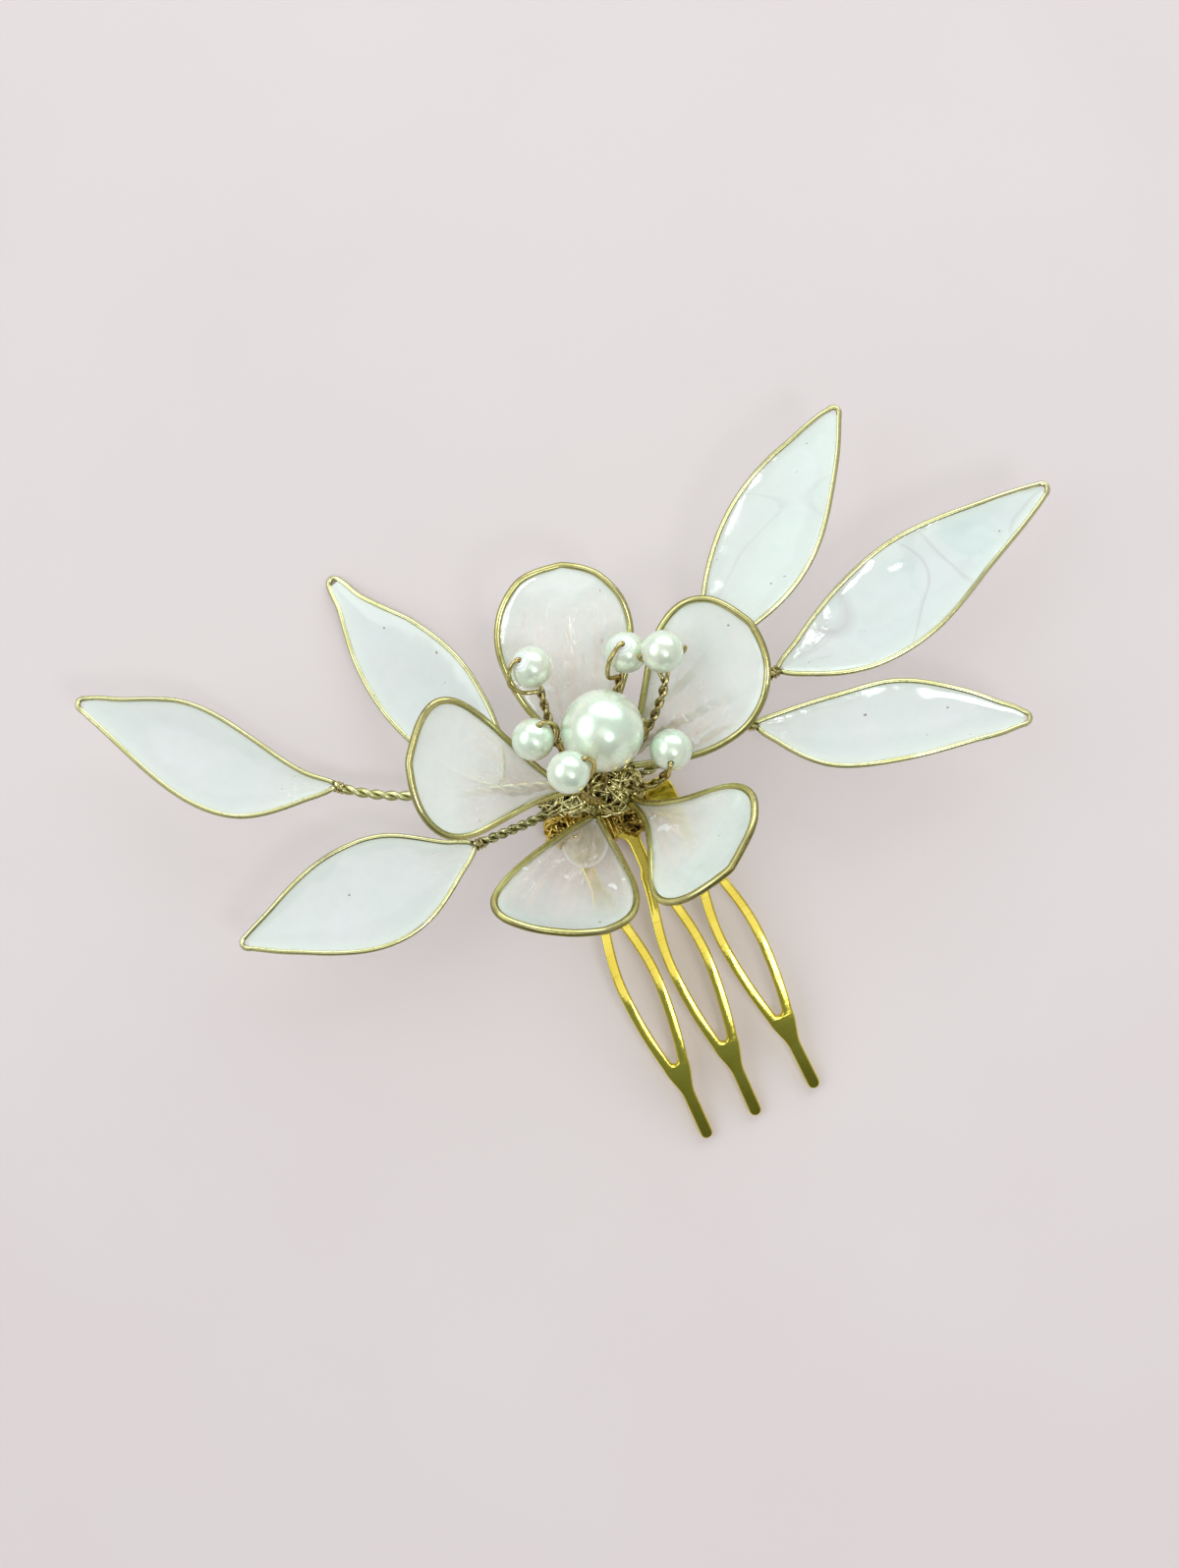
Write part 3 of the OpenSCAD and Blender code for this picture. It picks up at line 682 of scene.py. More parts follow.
def pearl_material():
    """Pearl paint: a soft lustre over a greenish white body, with a painted white highlight and thin dark
    rings round the drilled hole.
    """
    p = Paint("pearl_lustre")
    mouth = p.attribute("mouth")
    clouds = p.noise(260.0, 2.0)
    tone = p.blend(p.between(clouds, 0.35, 0.65), (0.78, 0.94, 0.77), (0.88, 0.95, 0.79))
    # Painted highlight: a white, less metallic disc round the drilled hole, edged by thin dark rings.
    painted_mouth_disc = p.between(mouth, 0.52, 0.56, 1.0, 0.0)
    tone = p.blend(painted_mouth_disc, tone, (0.90, 0.96, 0.91))
    for reach, thin in ((0.44, 0.035), (0.27, 0.03)):
        tone = p.blend(p.line_at(mouth, reach, thin, 0.8), tone, (0.55, 0.64, 0.56))
    p.set(Base_Color=tone, Metallic=p.math("MULTIPLY", p.math("SUBTRACT", 1.0, painted_mouth_disc), 0.37),
          Roughness=p.between(p.noise(900.0, 2.0), 0.3, 0.7, 0.25, 0.28),
          Subsurface_Weight=0.1, Subsurface_Scale=0.0008, Coat_Weight=1.0, Coat_Roughness=0.19,
          Coat_IOR=1.5, Specular_IOR_Level=0.6)
    p.bump(p.noise(1400.0, 2.0), 0.004, 0.0001)
    return p.material


def glue_material():
    """Clear glue, cloudy inside, with a painted white highlight along its rim."""
    p = Paint("clear_glue")
    clouds = p.noise(500.0)
    rim = p.attribute("rim")
    body = p.blend(clouds, (0.66, 0.60, 0.40), (0.86, 0.82, 0.68))
    p.set(Base_Color=p.blend(rim, body, (0.98, 0.98, 0.94)), Roughness=0.08,
          Coat_Weight=0.8, Coat_Roughness=0.03,
          Alpha=p.plus(p.between(clouds, 0.3, 0.7, 0.4, 0.7), 0.4, rim, clamp=True))
    p.bump(p.noise(700.0, 2.0), 0.2, 0.0002)
    return p.material


PETAL_GOLD = gold_material("petal_wire", (0.81, 0.77, 0.37), (0.60, 0.55, 0.22), (0.16, 0.14, 0.04),
                           240.0, 2600.0, edge=(0.75, 0.74, 0.4))
LEAF_GOLD = gold_material("leaf_wire", (0.90, 0.90, 0.52), (0.76, 0.74, 0.36), (0.17, 0.16, 0.05),
                          240.0, 2600.0, edge=(0.7, 0.7, 0.36), bump=0.1)
STEM_GOLD = gold_material("stem_wire", (0.80, 0.70, 0.35), (0.55, 0.44, 0.17), (0.12, 0.09, 0.03),
                          500.0, 3200.0, smoothest=0.1, roughening=0.12)
# Its near-black tarnish also paints the shade deep in the knot.
TANGLE_GOLD = gold_material("tangle_wire", (0.97, 0.92, 0.52), (0.72, 0.64, 0.28), (0.02, 0.014, 0.004),
                            420.0, 2600.0, smoothest=0.07, roughening=0.08)
BINDING_GOLD = gold_material("binding_wire", (0.92, 0.70, 0.18), (0.60, 0.40, 0.09), (0.05, 0.03, 0.006),
                             380.0, 2600.0)
COMB_GOLD = gold_material("comb_gilt", (0.88, 0.75, 0.14), (0.80, 0.66, 0.10), (0.45, 0.35, 0.05),
                          300.0, 2400.0, tarnish_and_shade=False, bump=0.55, depth=0.00001, edge=(0.95, 0.90, 0.5),
                          smoothest=0.07, roughening=0.06, brushed=(0.1, 1.2, 1.0))
PETAL_LIGHT = dict(passing=0.03, blush=1.0)
PETAL_MILK = film_material("petal_resin", (0.87, 0.97, 0.92), (0.93, 0.96, 0.92), (0.72, 0.86), 0.66,
                           **PETAL_LIGHT)
# The steep petals 4 and 5 get darker copies of the petal resin: painted shade that keeps them, though they
# face the lights, as dim as the rest.
LOW_PETAL_MILK_PAINTED_SHADE = film_material("low_petal_resin", (0.59, 0.66, 0.63), (0.65, 0.66, 0.63), (0.76, 0.9),
                               1.08, **PETAL_LIGHT)
SIDE_PETAL_MILK_PAINTED_SHADE = film_material("side_petal_resin", (0.73, 0.83, 0.78), (0.79, 0.83, 0.78), (0.76, 0.9),
                                0.85, **PETAL_LIGHT)
LEAF_MILK = film_material("leaf_resin", (0.74, 0.82, 0.79), (0.77, 0.82, 0.81), (0.86, 0.95), 0.15,
                          wave_scale=90.0)
SOFT_SWIRL_MILK = film_material("soft_swirled_resin", (0.81, 0.96, 0.89), (0.83, 0.94, 0.89), (0.88, 0.96),
                                0.1, ripple=0.35, swirl=0.3)
SWIRL_MILK = film_material("swirled_resin", (0.71, 0.86, 0.82), (0.73, 0.86, 0.84), (0.92, 0.98), 0.1,
                           ripple=0.45, swirl=0.6)
PEARL = pearl_material()
GLUE = glue_material()


def dressed(obj, material, slot, *nodes):
    """Gives a finished piece its material, hangs it under the root body and hides the CAD nodes it stands
    for.
    """
    if not obj.data.materials:
        obj.data.materials.append(material)
    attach(obj, "root")
    if nodes:
        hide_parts(*nodes)


# Loops of wire and their films

def wire_piece(name, paths, thickness, sides, material, wander=0.0, scale=120.0, seed=1.0):
    return baked(edge_path(name, paths), WIRE_TREE,
                 {"Thickness": thickness * MM, "Sides": sides, "Wander": wander * MM,
                  "Wander Scale": scale, "Seed": seed}, material)


def edge_shade(obj, up):
    """Painted shade along both sides of a loop's wire, where its surface turns away from the loop's up,
    partly tarnish where the resin joins it.
    """
    normals = np.zeros(len(obj.data.vertices) * 3, np.float32)
    obj.data.vertices.foreach_get("normal", normals)
    facing = np.abs(normals.reshape(-1, 3) @ up)
    tarnish_and_shade = np.clip((EDGE_START - facing) / EDGE_SPAN, 0.0, 1.0) ** 0.8
    write_layer(obj.data, "edge", tarnish_and_shade * EDGE_SHADE_DARKEST)


def film_mesh(name, loop, thickness, sag, wave, seed, first, fade):
    """A film between the two sides of a loop: thicker where it climbs the wire, rippled in between."""
    rows, cols = FILM_ROWS, FILM_COLS
    t = first + (1 - first) * eased(rows)
    left, right = loop.side(1, t), loop.side(-1, t)
    wire = np.vstack([loop.side(side, np.linspace(0, 1, 240)) for side in (1, -1)])
    thinnest = thickness * FILM_THIN
    tops, lows, rims, thins, places = [], [], [], [], []
    for i in range(rows + 1):
        across = np.linalg.norm(right[i] - left[i])
        for s in eased(cols):
            p = left[i] + (right[i] - left[i]) * s - sag * across * math.sin(math.pi * s) * loop.up
            gap = np.min(np.linalg.norm(wire - p, axis=1))
            near = math.exp(-max(0.0, gap - 0.3 * loop.wire) / FILM_CLIMB)
            half = thinnest + (FILM_GRIP * loop.wire - thinnest) * near
            q = Vector(p * RIPPLES_PER_MM) + Vector((seed * 7.3, seed * 3.1, seed))
            swell = wave * (noise.noise(q) + 0.5 * noise.noise(q * 2.7)) * (1 - near)
            tops.append(p + (half + swell) * loop.up)
            lows.append(p + (swell * 0.7 - half) * loop.up)
            rims.append(math.exp(-max(0.0, gap - FILM_GRIP * loop.wire) / RIM_FADE))
            thins.append(max(0.0, 1 - t[i] / fade) ** 0.8)
            places.append((s, t[i]))
    wide = cols + 1
    border = list(range(wide))
    border += [i * wide + cols for i in range(1, rows + 1)]
    border += [rows * wide + k for k in range(cols - 1, -1, -1)]
    border += [i * wide for i in range(rows - 1, 0, -1)]
    obj = make_object(name, np.array(tops + lows) * MM, shell_faces(rows, wide, cols, border))
    write_layer(obj.data, "rim", rims * 2)
    write_layer(obj.data, "thin", thins * 2)
    flow = obj.data.uv_layers.new(name="flow")
    corners = np.zeros(len(obj.data.loops), np.int32)
    obj.data.loops.foreach_get("vertex_index", corners)
    flow.data.foreach_set("uv", np.array(places * 2, np.float32)[corners].ravel())
    return obj


for k, row in enumerate(PETALS, 1):
    loop = Loop(row, PETAL_WIRE, 0)
    frame_wire = wire_piece("petal_frame_%d" % k, [loop.path()], COATED_PETAL_WIRE, 14, PETAL_GOLD,
                            0.12, 260.0, float(k))
    edge_shade(frame_wire, loop.up)
    dressed(frame_wire, PETAL_GOLD, "wire_gold", "petal_wire_%d" % k)
    sag, wave = (0.015, 0.08) if k == 1 else (0.04, 0.12)
    film = film_mesh("petal_film_%d" % k, loop, PETAL_FILM, sag, wave, float(k), 0.02, row["fade"])
    milk = {4: LOW_PETAL_MILK_PAINTED_SHADE, 5: SIDE_PETAL_MILK_PAINTED_SHADE}.get(k, PETAL_MILK)
    dressed(film, milk, "milky_resin", "petal_resin_%d" % k)

for k, row in enumerate(LEAVES, 1):
    loop = Loop(row, LEAF_WIRE, LEAF_TIP)
    frame_wire = wire_piece("leaf_frame_%d" % k, [loop.path()], COATED_LEAF_WIRE, 12, LEAF_GOLD,
                            0.07, 150.0, 10.0 + k)
    edge_shade(frame_wire, loop.up)
    dressed(frame_wire, LEAF_GOLD, "wire_gold", "leaf_wire_%d" % k)
    wave = 0.3 if k == 5 else 0.06
    film = film_mesh("leaf_film_%d" % k, loop, LEAF_FILM, 0.05, wave, 10.0 + k, 0.012, 0.25)
    milk = {4: SOFT_SWIRL_MILK, 5: SWIRL_MILK}.get(k, LEAF_MILK)
    dressed(film, milk, "milky_resin", "leaf_resin_%d" % k)


# Pearls and their stems

def pearl_mesh(name, row, size, steps=96):
    """A drilled pearl: the skin rolls over a small lip into the hole, and the poles are slightly flat."""
    b = bearing(*row["bore"])
    side = unit(np.cross(b, (0.31, 0.9, 0.2)))
    other = np.cross(b, side)
    r, hole, lip = size / 2, PEARL_BORE / 2, 0.16
    edge = math.asin((hole + 0.55) / r)
    pole = r * math.cos(edge)
    profile = [(hole, 0.0), (hole, pole - 0.5)]
    profile += arc(hole + lip, pole - 0.06, lip, 180, 90, -15)
    profile.append((hole + 0.34, pole + 0.02))
    profile += [(r * math.sin(a), r * math.cos(a)) for a in np.linspace(edge * 1.06, math.pi / 2, 34)]
    full = profile + [(x, -z) for x, z in profile[-2:0:-1]]
    centre = vec(row["at"])
    verts, faces = [], []
    for x, z in full:
        for a in 2 * math.pi * np.arange(steps) / steps:
            verts.append(centre + x * (math.cos(a) * side + math.sin(a) * other) + z * b)
    for i in range(len(full)):
        for k in range(steps):
            a, c = i * steps + k, i * steps + (k + 1) % steps
            below = (i + 1) % len(full) * steps - i * steps
            faces.append((a, a + below, c + below, c))
    obj = make_object(name, np.array(verts) * MM, faces)
    away = np.linalg.norm(np.cross(np.array(verts) - centre, b), axis=1) / r
    write_layer(obj.data, "mouth", away if row.get("painted_mouth_highlight") else np.ones(len(verts)))
    return obj


def smooth_through(points):
    """A smooth line through a few points."""
    p = np.vstack([2 * points[0] - points[1], points, 2 * points[-1] - points[-2]])
    line = []
    for i in range(1, len(p) - 2):
        knots = [0.0]
        for k in range(3):
            knots.append(knots[-1] + math.sqrt(np.linalg.norm(p[i + k] - p[i + k - 1])))
        t0, t1, t2, t3 = knots
        t = np.linspace(t1, t2, 16, endpoint=False)[:, None]
        a = (t1 - t) / (t1 - t0) * p[i - 1] + (t - t0) / (t1 - t0) * p[i]
        b = (t2 - t) / (t2 - t1) * p[i] + (t - t1) / (t2 - t1) * p[i + 1]
        c = (t3 - t) / (t3 - t2) * p[i + 1] + (t - t2) / (t3 - t2) * p[i + 2]
        d = (t2 - t) / (t2 - t0) * a + (t - t0) / (t2 - t0) * b
        e = (t3 - t) / (t3 - t1) * b + (t - t1) / (t3 - t1) * c
        line.extend((t2 - t) / (t2 - t1) * d + (t - t1) / (t2 - t1) * e)
    line.append(points[-1])
    return respaced(np.array(line), PEARL_STEP)


def turned(a, b, share):
    """The direction a share of the way round from a to b."""
    angle = math.acos(max(-1.0, min(1.0, float(np.dot(a, b)))))
    return (math.sin((1 - share) * angle) * a + math.sin(share * angle) * b) / math.sin(angle)


def pearl_path(row, size):
    """The doubled wire of a pearl: up one strand, hooked through the bore, back by the other strand."""
    at, hang, b = vec(row["at"]), bearing(*row["hang"]), bearing(*row["bore"])
    r = size / 2
    neck = at + (r + 0.9) * hang
    foot = vec((*row["foot"], KNOT_HIGH - 0.4))
    corners = [neck, neck + 2.5 * hang, vec(row["bend"]), foot]
    stem = respaced(bezier(corners, np.linspace(0, 1, 90)), PEARL_STEP)
    offset = STRAND_SHARE * PEARL_WIRE
    lean = unit(b - np.dot(b, hang) * hang)
    halves = []
    for side in (1, -1):
        way = side * b
        slack = row["slack"] if side > 0 else 0.0
        points = [neck + side * offset * lean]
        for share in (0.35, 0.65, 0.86):
            reach = r + 0.2 + 0.5 * (1 - share) + slack * math.sin(math.pi * share)
            low = row.get("under", 0.0) * math.sin(math.pi * share) * vec((0, 0, -1))
            points.append(at + reach * unit(turned(hang, way, share) + low))
        points.append(at + (r + 0.15) * way)
        points.append(at + (r - 0.6) * way)
        points.append(at + 0.3 * way)
        halves.append(smooth_through(np.array(points))[2:])
    head = np.vstack([halves[0], halves[1][::-1]])
    return doubled(stem, lean, offset, STEM_TURNS, head, 0.8, 0.2)


for k, row in enumerate(PEARLS, 1):
    dressed(pearl_mesh("pearl_bead_%d" % k, row, SMALL_PEARL), PEARL, "pearl", "pearl_%d" % k)
    stem = wire_piece("pearl_stem_%d" % k, [pearl_path(row, SMALL_PEARL)], PEARL_WIRE, 10, STEM_GOLD)
    dressed(stem, STEM_GOLD, "wire_gold", "pearl_wire_%d" % k)
dressed(pearl_mesh("pearl_bead_centre", CENTRE_PEARL, BIG_PEARL, 128), PEARL, "pearl", "pearl_centre")
stem = wire_piece("pearl_stem_centre", [pearl_path(CENTRE_PEARL, BIG_PEARL)], PEARL_WIRE, 10, STEM_GOLD)
dressed(stem, STEM_GOLD, "wire_gold", "pearl_centre_wire")


# Comb

GUSSET = SPINE_H + 2.4
NECK = SPINE_H + 5.4
SPLIT = SPINE_H + 6.6
WIDEST = SPINE_H + 18.2
EYE_END = REACH - 10.5
BAR = REACH - 6.2


def eye_spread(y):
    """How far the middle of an arm is from the middle of its tine, y below the spine's back edge."""
    if y < SPLIT:
        return ARM_W / 2
    if y < WIDEST:
        opened = math.sin(math.pi / 2 * (y - SPLIT) / (WIDEST - SPLIT)) ** 1.5
        return ARM_W / 2 + (EYE_HALF - ARM_W / 2) * opened
    return EYE_HALF - 1.25 * ((y - WIDEST) / (EYE_END - WIDEST)) ** 1.8


def blended(x, low, high):
    """A smooth change from one value to another while x goes from 0 to 1."""
    return low + (high - low) * x * x * (3 - 2 * x)


def tine_half(y):
    """Half the width over a tine, y below the spine's back edge."""
    if y <= GUSSET:
        return ROOT_W / 2 + 1.9 * ((GUSSET - y) / (GUSSET - SPINE_H)) ** 2.2
    if y <= NECK:
        return ROOT_W / 2
    if y <= SPLIT:
        return blended((y - NECK) / (SPLIT - NECK), ROOT_W / 2, ARM_W)
    if y <= EYE_END:
        return eye_spread(y) + ARM_W / 2
    if y <= BAR:
        return blended((y - EYE_END) / (BAR - EYE_END), eye_spread(EYE_END) + ARM_W / 2, TIP_W / 2)
    return TIP_W / 2


def tine_x(tine, y):
    """The middle of a tine: the tines spread a little towards their tips."""
    return PITCH * (tine[0] + (tine[1] - tine[0]) * (y - SPINE_H) / (REACH - SPINE_H))


def inside_spine(x, y):
    """Beside the spine the outer tines' gussets end at its corners."""
    return max(-SPINE_W / 2, min(SPINE_W / 2, x)) if y < GUSSET else x


def comb_outline():
    """The stamped outline, from the spine's left corner round the tines and back."""
    points = []
    last = REACH - TIP_W / 2
    steps = np.concatenate([np.linspace(SPINE_H, GUSSET, 9), np.linspace(GUSSET, last, 90)[1:]])
    for tine in TINES:
        points += [(inside_spine(tine_x(tine, y) - tine_half(y), y), -y) for y in steps]
        points += arc(tine_x(tine, last), -last, TIP_W / 2, 200, 340, 20)
        points += [(inside_spine(tine_x(tine, y) + tine_half(y), y), -y) for y in steps[::-1]]
    for sign, first in ((1, 0), (-1, 90)):
        points += arc(sign * (SPINE_W / 2 - CORNER), -CORNER, CORNER, first, first + 90, 15)
    return points


def eye_points(tine):
    """The long eye of one tine."""
    steps = np.linspace(SPLIT + 0.6, EYE_END - 0.6, 60)
    last = steps[-1]
    points = [(tine_x(tine, steps[0]), -steps[0])]
    points += [(tine_x(tine, y) - eye_spread(y) + ARM_W / 2, -y) for y in steps[1:]]
    points += arc(tine_x(tine, last), -last, eye_spread(last) - ARM_W / 2, 200, 340, 20)
    points += [(tine_x(tine, y) + eye_spread(y) - ARM_W / 2, -y) for y in steps[:0:-1]]
    return points


def comb_piece():
    """A flat curve with its holes, filled, given rounded edges, and bent to the comb's arch."""
    rounding = 0.22
    curve = bpy.data.curves.new("comb_blank", "CURVE")
    curve.dimensions = "2D"
    curve.fill_mode = "BOTH"
    curve.extrude = (SHEET / 2 - rounding) * MM
    curve.bevel_depth = rounding * MM
    curve.bevel_resolution = 4
    curve.offset = -rounding * MM
    for points in [comb_outline()] + [eye_points(tine) for tine in TINES]:
        spline = curve.splines.new("POLY")
        spline.points.add(len(points) - 1)
        for slot, (x, y) in zip(spline.points, points):
            slot.co = (x * MM, y * MM, 0, 1)
        spline.use_cyclic_u = True
    blank = placed("comb_blank", curve)
    mesh = frozen(blank)
    bpy.data.objects.remove(blank)
    flat = np.zeros(len(mesh.vertices) * 3)
    mesh.vertices.foreach_get("co", flat)
    flat = flat.reshape(-1, 3) / MM
    lean = np.arcsin((flat[:, 1] - ARCH_Y) / (ARCH_R + SHEET / 2))
    radius = ARCH_R + flat[:, 2] + SHEET / 2
    bent = np.stack([flat[:, 0], ARCH_Y + radius * np.sin(lean), ARCH_Z + radius * np.cos(lean)], axis=1)
    mesh.vertices.foreach_set("co", (bent * MM).ravel())
    mesh.materials.clear()
    plate = placed("comb_plate", mesh)
    join = plate.modifiers.new("join", "WELD")
    join.merge_threshold = 0.00001
    welded = frozen(plate)
    plate.modifiers.clear()
    plate.data = welded
    welded.shade_smooth()
    welded.set_sharp_from_angle(angle=math.radians(40))
    return plate


dressed(comb_piece(), COMB_GOLD, "comb_gold", "comb")


# Turns of wire at many tilts

def yarn(count, middle, reach, seed, longest=0.45):
    """Short and long turns of wire at many tilts over a rounded body, darker as painted shade the deeper
    they lie in it.
    """
    dice = np.random.default_rng(seed)
    paths = []
    for _ in range(count):
        pole = unit(dice.normal(size=3))
        side = unit(np.cross(pole, (0.31, 0.9, 0.2)))
        other = np.cross(pole, side)
        turns = dice.uniform(0.12, longest)
        start = dice.uniform(0, 6.28)
        lean = dice.uniform(-0.6, 0.6)
        points = max(6, int(48 * turns))
        a = np.linspace(start, start + 2 * np.pi * turns, points)[:, None]
        ring = np.cos(a) * side + np.sin(a) * other + lean * pole
        ring /= np.linalg.norm(ring, axis=1)[:, None]
        depth = 1 + 0.16 * dice.uniform(-1, 1) + 0.1 * np.sin(a * dice.uniform(2, 6) + start)
        # Painted shade: turns that lie deeper inside the body get darker.
        deep = np.clip(1.0 - (depth[:, 0] - 0.9) / 0.22, 0.0, 1.0)
        paths.append((vec(middle) + ring * vec(reach) * depth, deep * 0.8 + dice.uniform(0.0, 0.15)))
    return paths


# Binding: fine wire wound closely over the spine between the tines

def on_arch(x, y, rise):
    """A point over the spine's middle layer: x along it, y towards the back edge, rise off the sheet."""
    lean = math.asin((y - ARCH_Y) / ARCH_R)
    radius = ARCH_R + SHEET / 2 + rise
    return vec((x, ARCH_Y + radius * math.sin(lean), ARCH_Z + radius * math.cos(lean)))


def binding_path(first, last, pitch, lift, seed):
    """One wire wound round the spine from x = first to last."""
    turns = int((last - first) / pitch)
    wide = SPINE_H / 2 + 0.5 + lift
    points = []
    steps = 28
    for i in range(turns * steps):
        a = 2 * math.pi * i / steps
        x = first + pitch * i / steps
        shake = 0.09 * noise.noise(Vector((i * 0.13, seed, 0)))
        y = -SPINE_H / 2 - 0.15 + wide * math.copysign(abs(math.cos(a)) ** 0.6, math.cos(a))
        rise = -(SHEET / 2 + 0.18 + lift) * math.copysign(abs(math.sin(a)) ** 0.5, math.sin(a))
        points.append(on_arch(x + shake, y, rise + shake * 0.5))
    return np.array(points), 0.35 + 0.3 * np.sin(np.arange(len(points)) * 0.021 + seed)


windings = [binding_path(-7.3, 4.3, 0.37, 0.04, 1.0), binding_path(-7.0, -1.2, 0.5, 0.3, 5.0),
            binding_path(0.2, 4.0, 0.47, 0.3, 9.0)]
left_mass = yarn(110, (-7.0, -0.9, 3.0), (2.3, 2.1, 1.3), 41, 0.3)
left_mass = [(points, 0.35 * dark) for points, dark in left_mass]
root_mass = yarn(90, (1.3, -2.9, 3.6), (2.0, 2.0, 0.9), 43, 0.3)
root_mass = [(points, np.minimum(1.0, dark + 0.55)) for points, dark in root_mass]
binding = wire_piece("comb_winding", windings + left_mass + root_mass, BINDING_WIRE, 8, BINDING_GOLD)
dressed(binding, BINDING_GOLD, "binding_gold", "comb_binding")


# Knot: wire wound round the bound stems in many directions, with loose ends

def loose_ends(count, middle, reach, seed):
    """Short tails that leave the knot and curl."""
    dice = np.random.default_rng(seed)
    paths = []
    for _ in range(count):
        out = dice.normal(size=3)
        out[2] = abs(out[2]) * 0.6
        out = unit(out)
        side = unit(np.cross(out, dice.normal(size=3)))
        size = dice.uniform(0.5, 1.1)
        a = np.linspace(0, dice.uniform(1.6, 4.2), 16)[:, None]
        curl = size * (np.sin(a) * out + (1 - np.cos(a)) * side)
        paths.append((vec(middle) + out * vec(reach) * 0.95 + curl, np.full(16, dice.uniform(0, 0.3))))
    return paths


KNOT_BODY = ((0.2, 1.4, 6.4), (3.5, 2.8, 2.5))
LEFT_BODY = ((-4.2, 1.8, 6.1), (2.3, 1.7, 1.6))
STEM_BODY = ((-6.9, 2.5, 5.9), (1.9, 1.15, 1.2))


def shaded(paths, dark):
    """The same turns, all at one darkness: for the knot's core, painted shade."""
    return [(points, np.full(len(points), dark)) for points, _ in paths]


# The core: turns deep inside the knot, painted fully dark as the shade between the outer turns.
core = shaded(yarn(150, KNOT_BODY[0], (2.8, 2.2, 2.0), 8, 0.9) + yarn(60, LEFT_BODY[0], (1.9, 1.3, 1.2), 9)
              + yarn(30, STEM_BODY[0], (1.5, 0.8, 0.9), 10), 1.0)
tangle = wire_piece("stem_tangle", yarn(170, *KNOT_BODY, 7) + core,
                    TANGLE_WIRE, 6, TANGLE_GOLD, 0.45, 520.0, 3.0)
dressed(tangle, TANGLE_GOLD, "wire_gold", "flower_knot")
bundle = wire_piece("stem_wrapping", yarn(80, *LEFT_BODY, 17) + yarn(45, *STEM_BODY, 19),
                    WRAPPING_WIRE, 6, TANGLE_GOLD, 0.4, 520.0, 4.0)
dressed(bundle, TANGLE_GOLD, "wire_gold")
tails = wire_piece("loose_ends", loose_ends(22, *KNOT_BODY, 27) + loose_ends(8, *LEFT_BODY, 28),
                   TAIL_WIRE, 6, TANGLE_GOLD, 0.2, 500.0, 5.0)
dressed(tails, TANGLE_GOLD, "wire_gold")


# Collars: each leaf's wire is wound round its own stem where the loop closes

collars = []
for row in LEAVES:
    stem = Loop(row, LEAF_WIRE, LEAF_TIP).stem()
    run = lengths(stem)
    keep = stem[(run > COLLAR_RUN[0]) & (run < COLLAR_RUN[1])]
    collars.append((keep, np.full(len(keep), 0.5)))
collar = baked(edge_path("leaf_collars", collars), WINDING_TREE,
               {"Thickness": COLLAR_WIRE * MM, "Sides": 8, "Coil Radius": COLLAR_R * MM,
                "Turns Per Metre": 2300.0, "Steps Per Metre": 30000.0,
                "Wander": 0.1 * MM, "Wander Scale": 500.0, "Seed": 1.0}, STEM_GOLD)
dressed(collar, STEM_GOLD, "wire_gold")


# Drop of clear glue on the spine

def glue_piece():
    """A lens of glue over the binding, with a slightly uneven edge."""
    centre, across, dome = (-5.6, -4.1), 2.9, 1.1
    lift = 1.02
    rings, steps = 14, 48
    verts, rims = [], []
    for height in (dome, 0.0):
        for i in range(rings + 1):
            share = i / rings
            # rim runs from 0 to 1 over the outer edge, where the glue gets its painted white highlight.
            rims.extend([max(0.0, (share - 0.84) / 0.16)] * steps)
            rise = SHEET / 2 + lift + height * math.sqrt(max(0.0, 1 - share ** 2.2))
            for a in 2 * math.pi * np.arange(steps) / steps:
                wobble = 1 + 0.06 * noise.noise(Vector((math.cos(a) * 1.4, math.sin(a) * 1.4, 3.7)))
                r = across * share * wobble
                verts.append(on_arch(centre[0] + r * math.cos(a), centre[1] + r * math.sin(a), rise))
    border = [rings * steps + k for k in range(steps - 1, -1, -1)]
    obj = make_object("glue_lens", np.array(verts) * MM, shell_faces(rings, steps, steps, border))
    write_layer(obj.data, "rim", rims)
    return obj


dressed(glue_piece(), GLUE, "clear_glue", "glue_drop")


# Stage, light and camera

CAMERA_TURN = math.radians(-25)
RIGHT = vec((math.cos(CAMERA_TURN), math.sin(CAMERA_TURN), 0))
UP = vec((-math.sin(CAMERA_TURN), math.cos(CAMERA_TURN), 0))


def seen_at(azimuth, height):
    """The direction at an azimuth from the picture's right and a height over the table."""
    a, h = math.radians(azimuth), math.radians(height)
    return math.cos(h) * (math.cos(a) * RIGHT + math.sin(a) * UP) + math.sin(h) * vec((0, 0, 1))


def floor_material():
    """Pale pinkish paper with a faint mottle."""
    p = Paint("pale_paper")
    mottle = p.between(p.noise(14.0), 0.3, 0.7)
    p.set(Base_Color=p.blend(mottle, (0.775, 0.70, 0.70), (0.80, 0.735, 0.733)),
          Roughness=p.between(p.noise(60.0, 2.0), 0.3, 0.7, 0.75, 0.9))
    p.bump(p.noise(1500.0), 0.06, 0.0001)
    return p.material


def make_floor():
    half = 1.6
    corners = [(-half, -half, 0), (half, -half, 0), (half, half, 0), (-half, half, 0)]
    obj = make_object("floor", corners, [(0, 1, 2, 3)], smooth=False)
    obj.location.z = -0.00002
    obj.data.materials.append(floor_material())


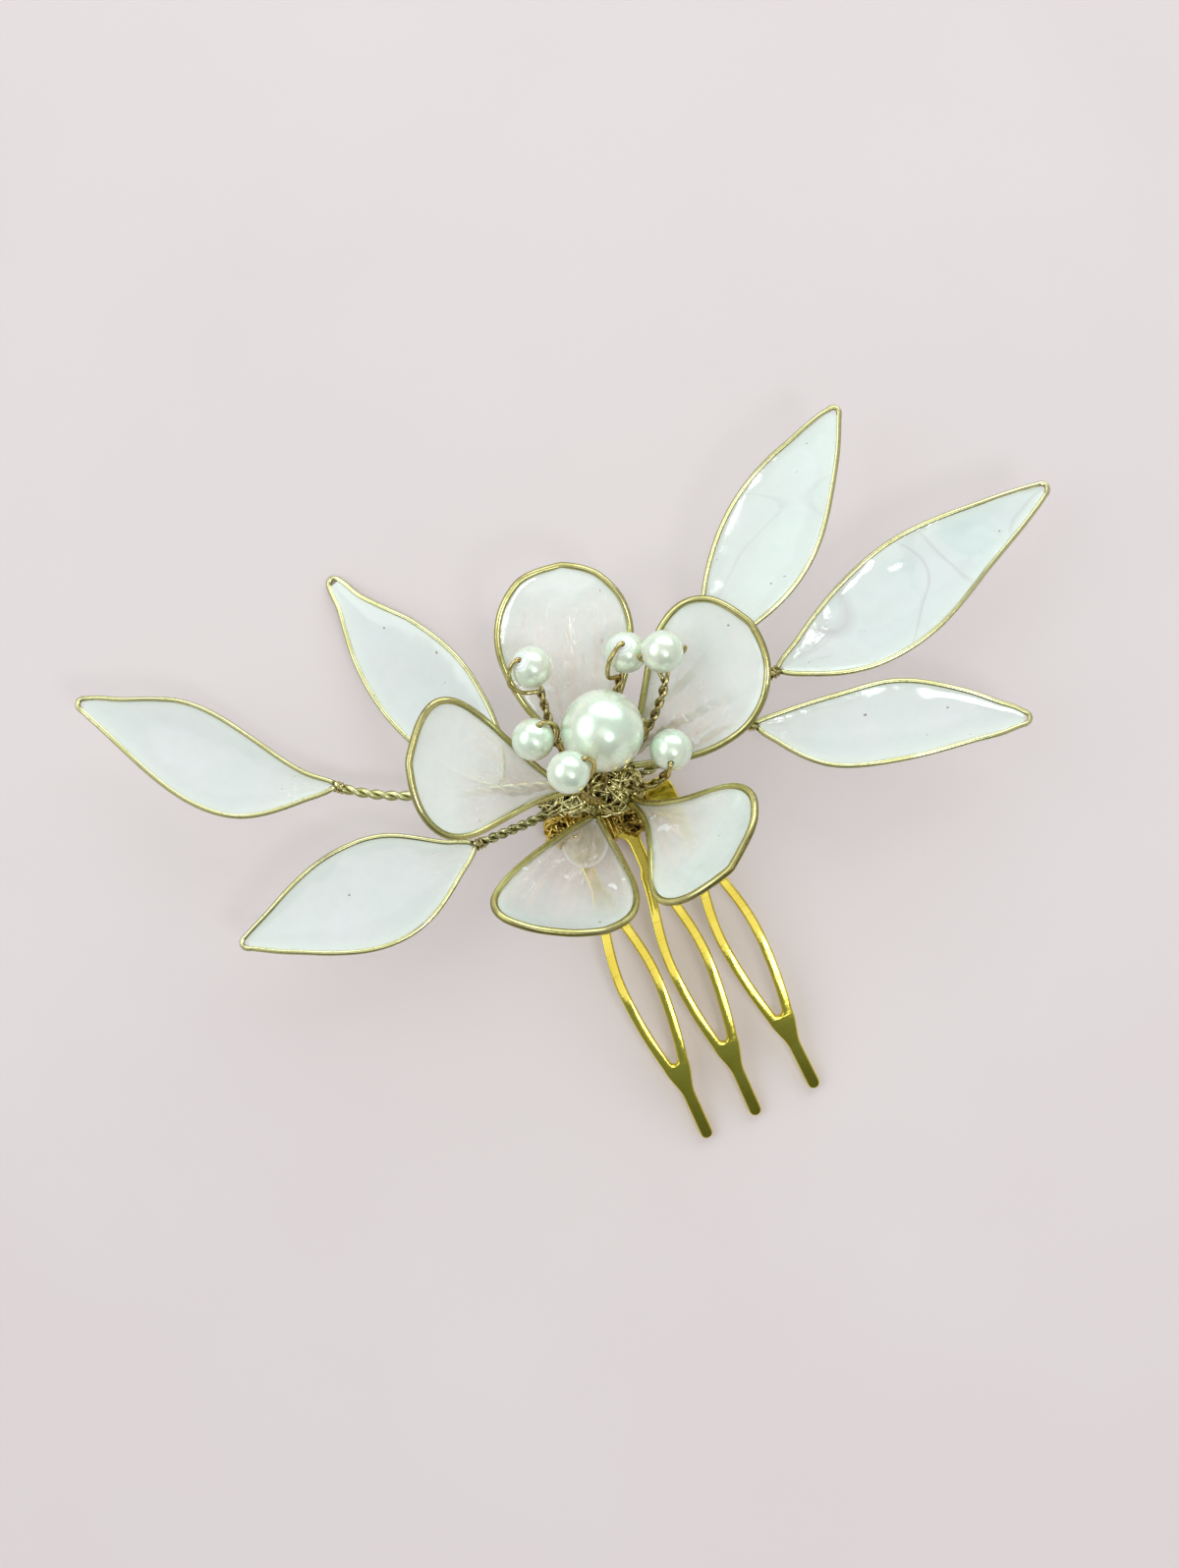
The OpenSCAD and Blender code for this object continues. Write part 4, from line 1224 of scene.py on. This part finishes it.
def area_light(name, azimuth, height, distance, size, power, colour):
    """A soft oval light that looks at the middle of the table."""
    way = seen_at(azimuth, height)
    data = bpy.data.lights.new(name, "AREA")
    data.shape = "ELLIPSE"
    data.size, data.size_y = size
    data.energy = power
    data.color = colour
    obj = placed(name, data)
    obj.location = Vector(way * distance)
    obj.rotation_euler = Vector(-way).to_track_quat("-Z", "Y").to_euler()


def make_lights():
    area_light("window_left", 168, 41, 0.9, (1.05, 0.8), 2.95, (0.87, 0.965, 1.0))
    area_light("window_top", 80, 30, 0.65, (1.05, 0.56), 2.5, (0.87, 0.97, 1.0))
    area_light("lamp_right", 318, 66, 0.45, (0.12, 0.14), 0.3, (0.95, 0.98, 1.0))
    area_light("ceiling_glow", 295, 87, 0.8, (0.44, 0.36), 0.25, (1.0, 0.98, 0.97))
    world = bpy.data.worlds.new("soft_room")
    world.use_nodes = True
    room = world.node_tree.nodes["Background"]
    room.inputs["Color"].default_value = (1.0, 0.95, 0.925, 1)
    room.inputs["Strength"].default_value = 0.45
    bpy.context.scene.world = world


def flag_material():
    """Dim cloth that is paler towards its upper edge."""
    p = Paint("dim_cloth")
    height = p.fed("ShaderNodeSeparateXYZ", {0: p.place}, "Z")
    low = p.blend(p.noise(40.0, 2.0), (0.11, 0.14, 0.11), (0.16, 0.19, 0.15))
    p.set(Base_Color=p.blend(p.between(height, 0.36, 0.5), low, (0.29, 0.36, 0.29)), Roughness=1.0)
    return p.material


def make_flag():
    """A dim curved cloth in front of the table and over it, seen only as a dark patch in the gloss."""
    azimuth, away, half = 283, 0.55, 0.3
    across = np.cross(seen_at(azimuth, 0), (0, 0, 1))
    corners, faces = [], []
    for i, rise in enumerate(range(4, 78, 6)):
        corners += [away * seen_at(azimuth, rise) + side * half * across for side in (-1, 1)]
        if i:
            faces.append((2 * i - 2, 2 * i - 1, 2 * i + 1, 2 * i))
    obj = make_object("flag", corners, faces)
    obj.data.materials.append(flag_material())
    obj.visible_camera = False
    obj.visible_diffuse = False
    obj.visible_shadow = False


def make_camera():
    data = bpy.data.cameras.new("camera")
    data.lens = 38.35
    data.sensor_width = 36.0
    data.clip_start = 0.01
    obj = placed("camera", data)
    obj.location = (-0.0019, 0.0029, 0.2125)
    obj.rotation_euler = (0, 0, CAMERA_TURN)
    bpy.context.scene.camera = obj


make_floor()
make_lights()
make_flag()
make_camera()
bpy.context.scene.view_settings.view_transform = "Standard"
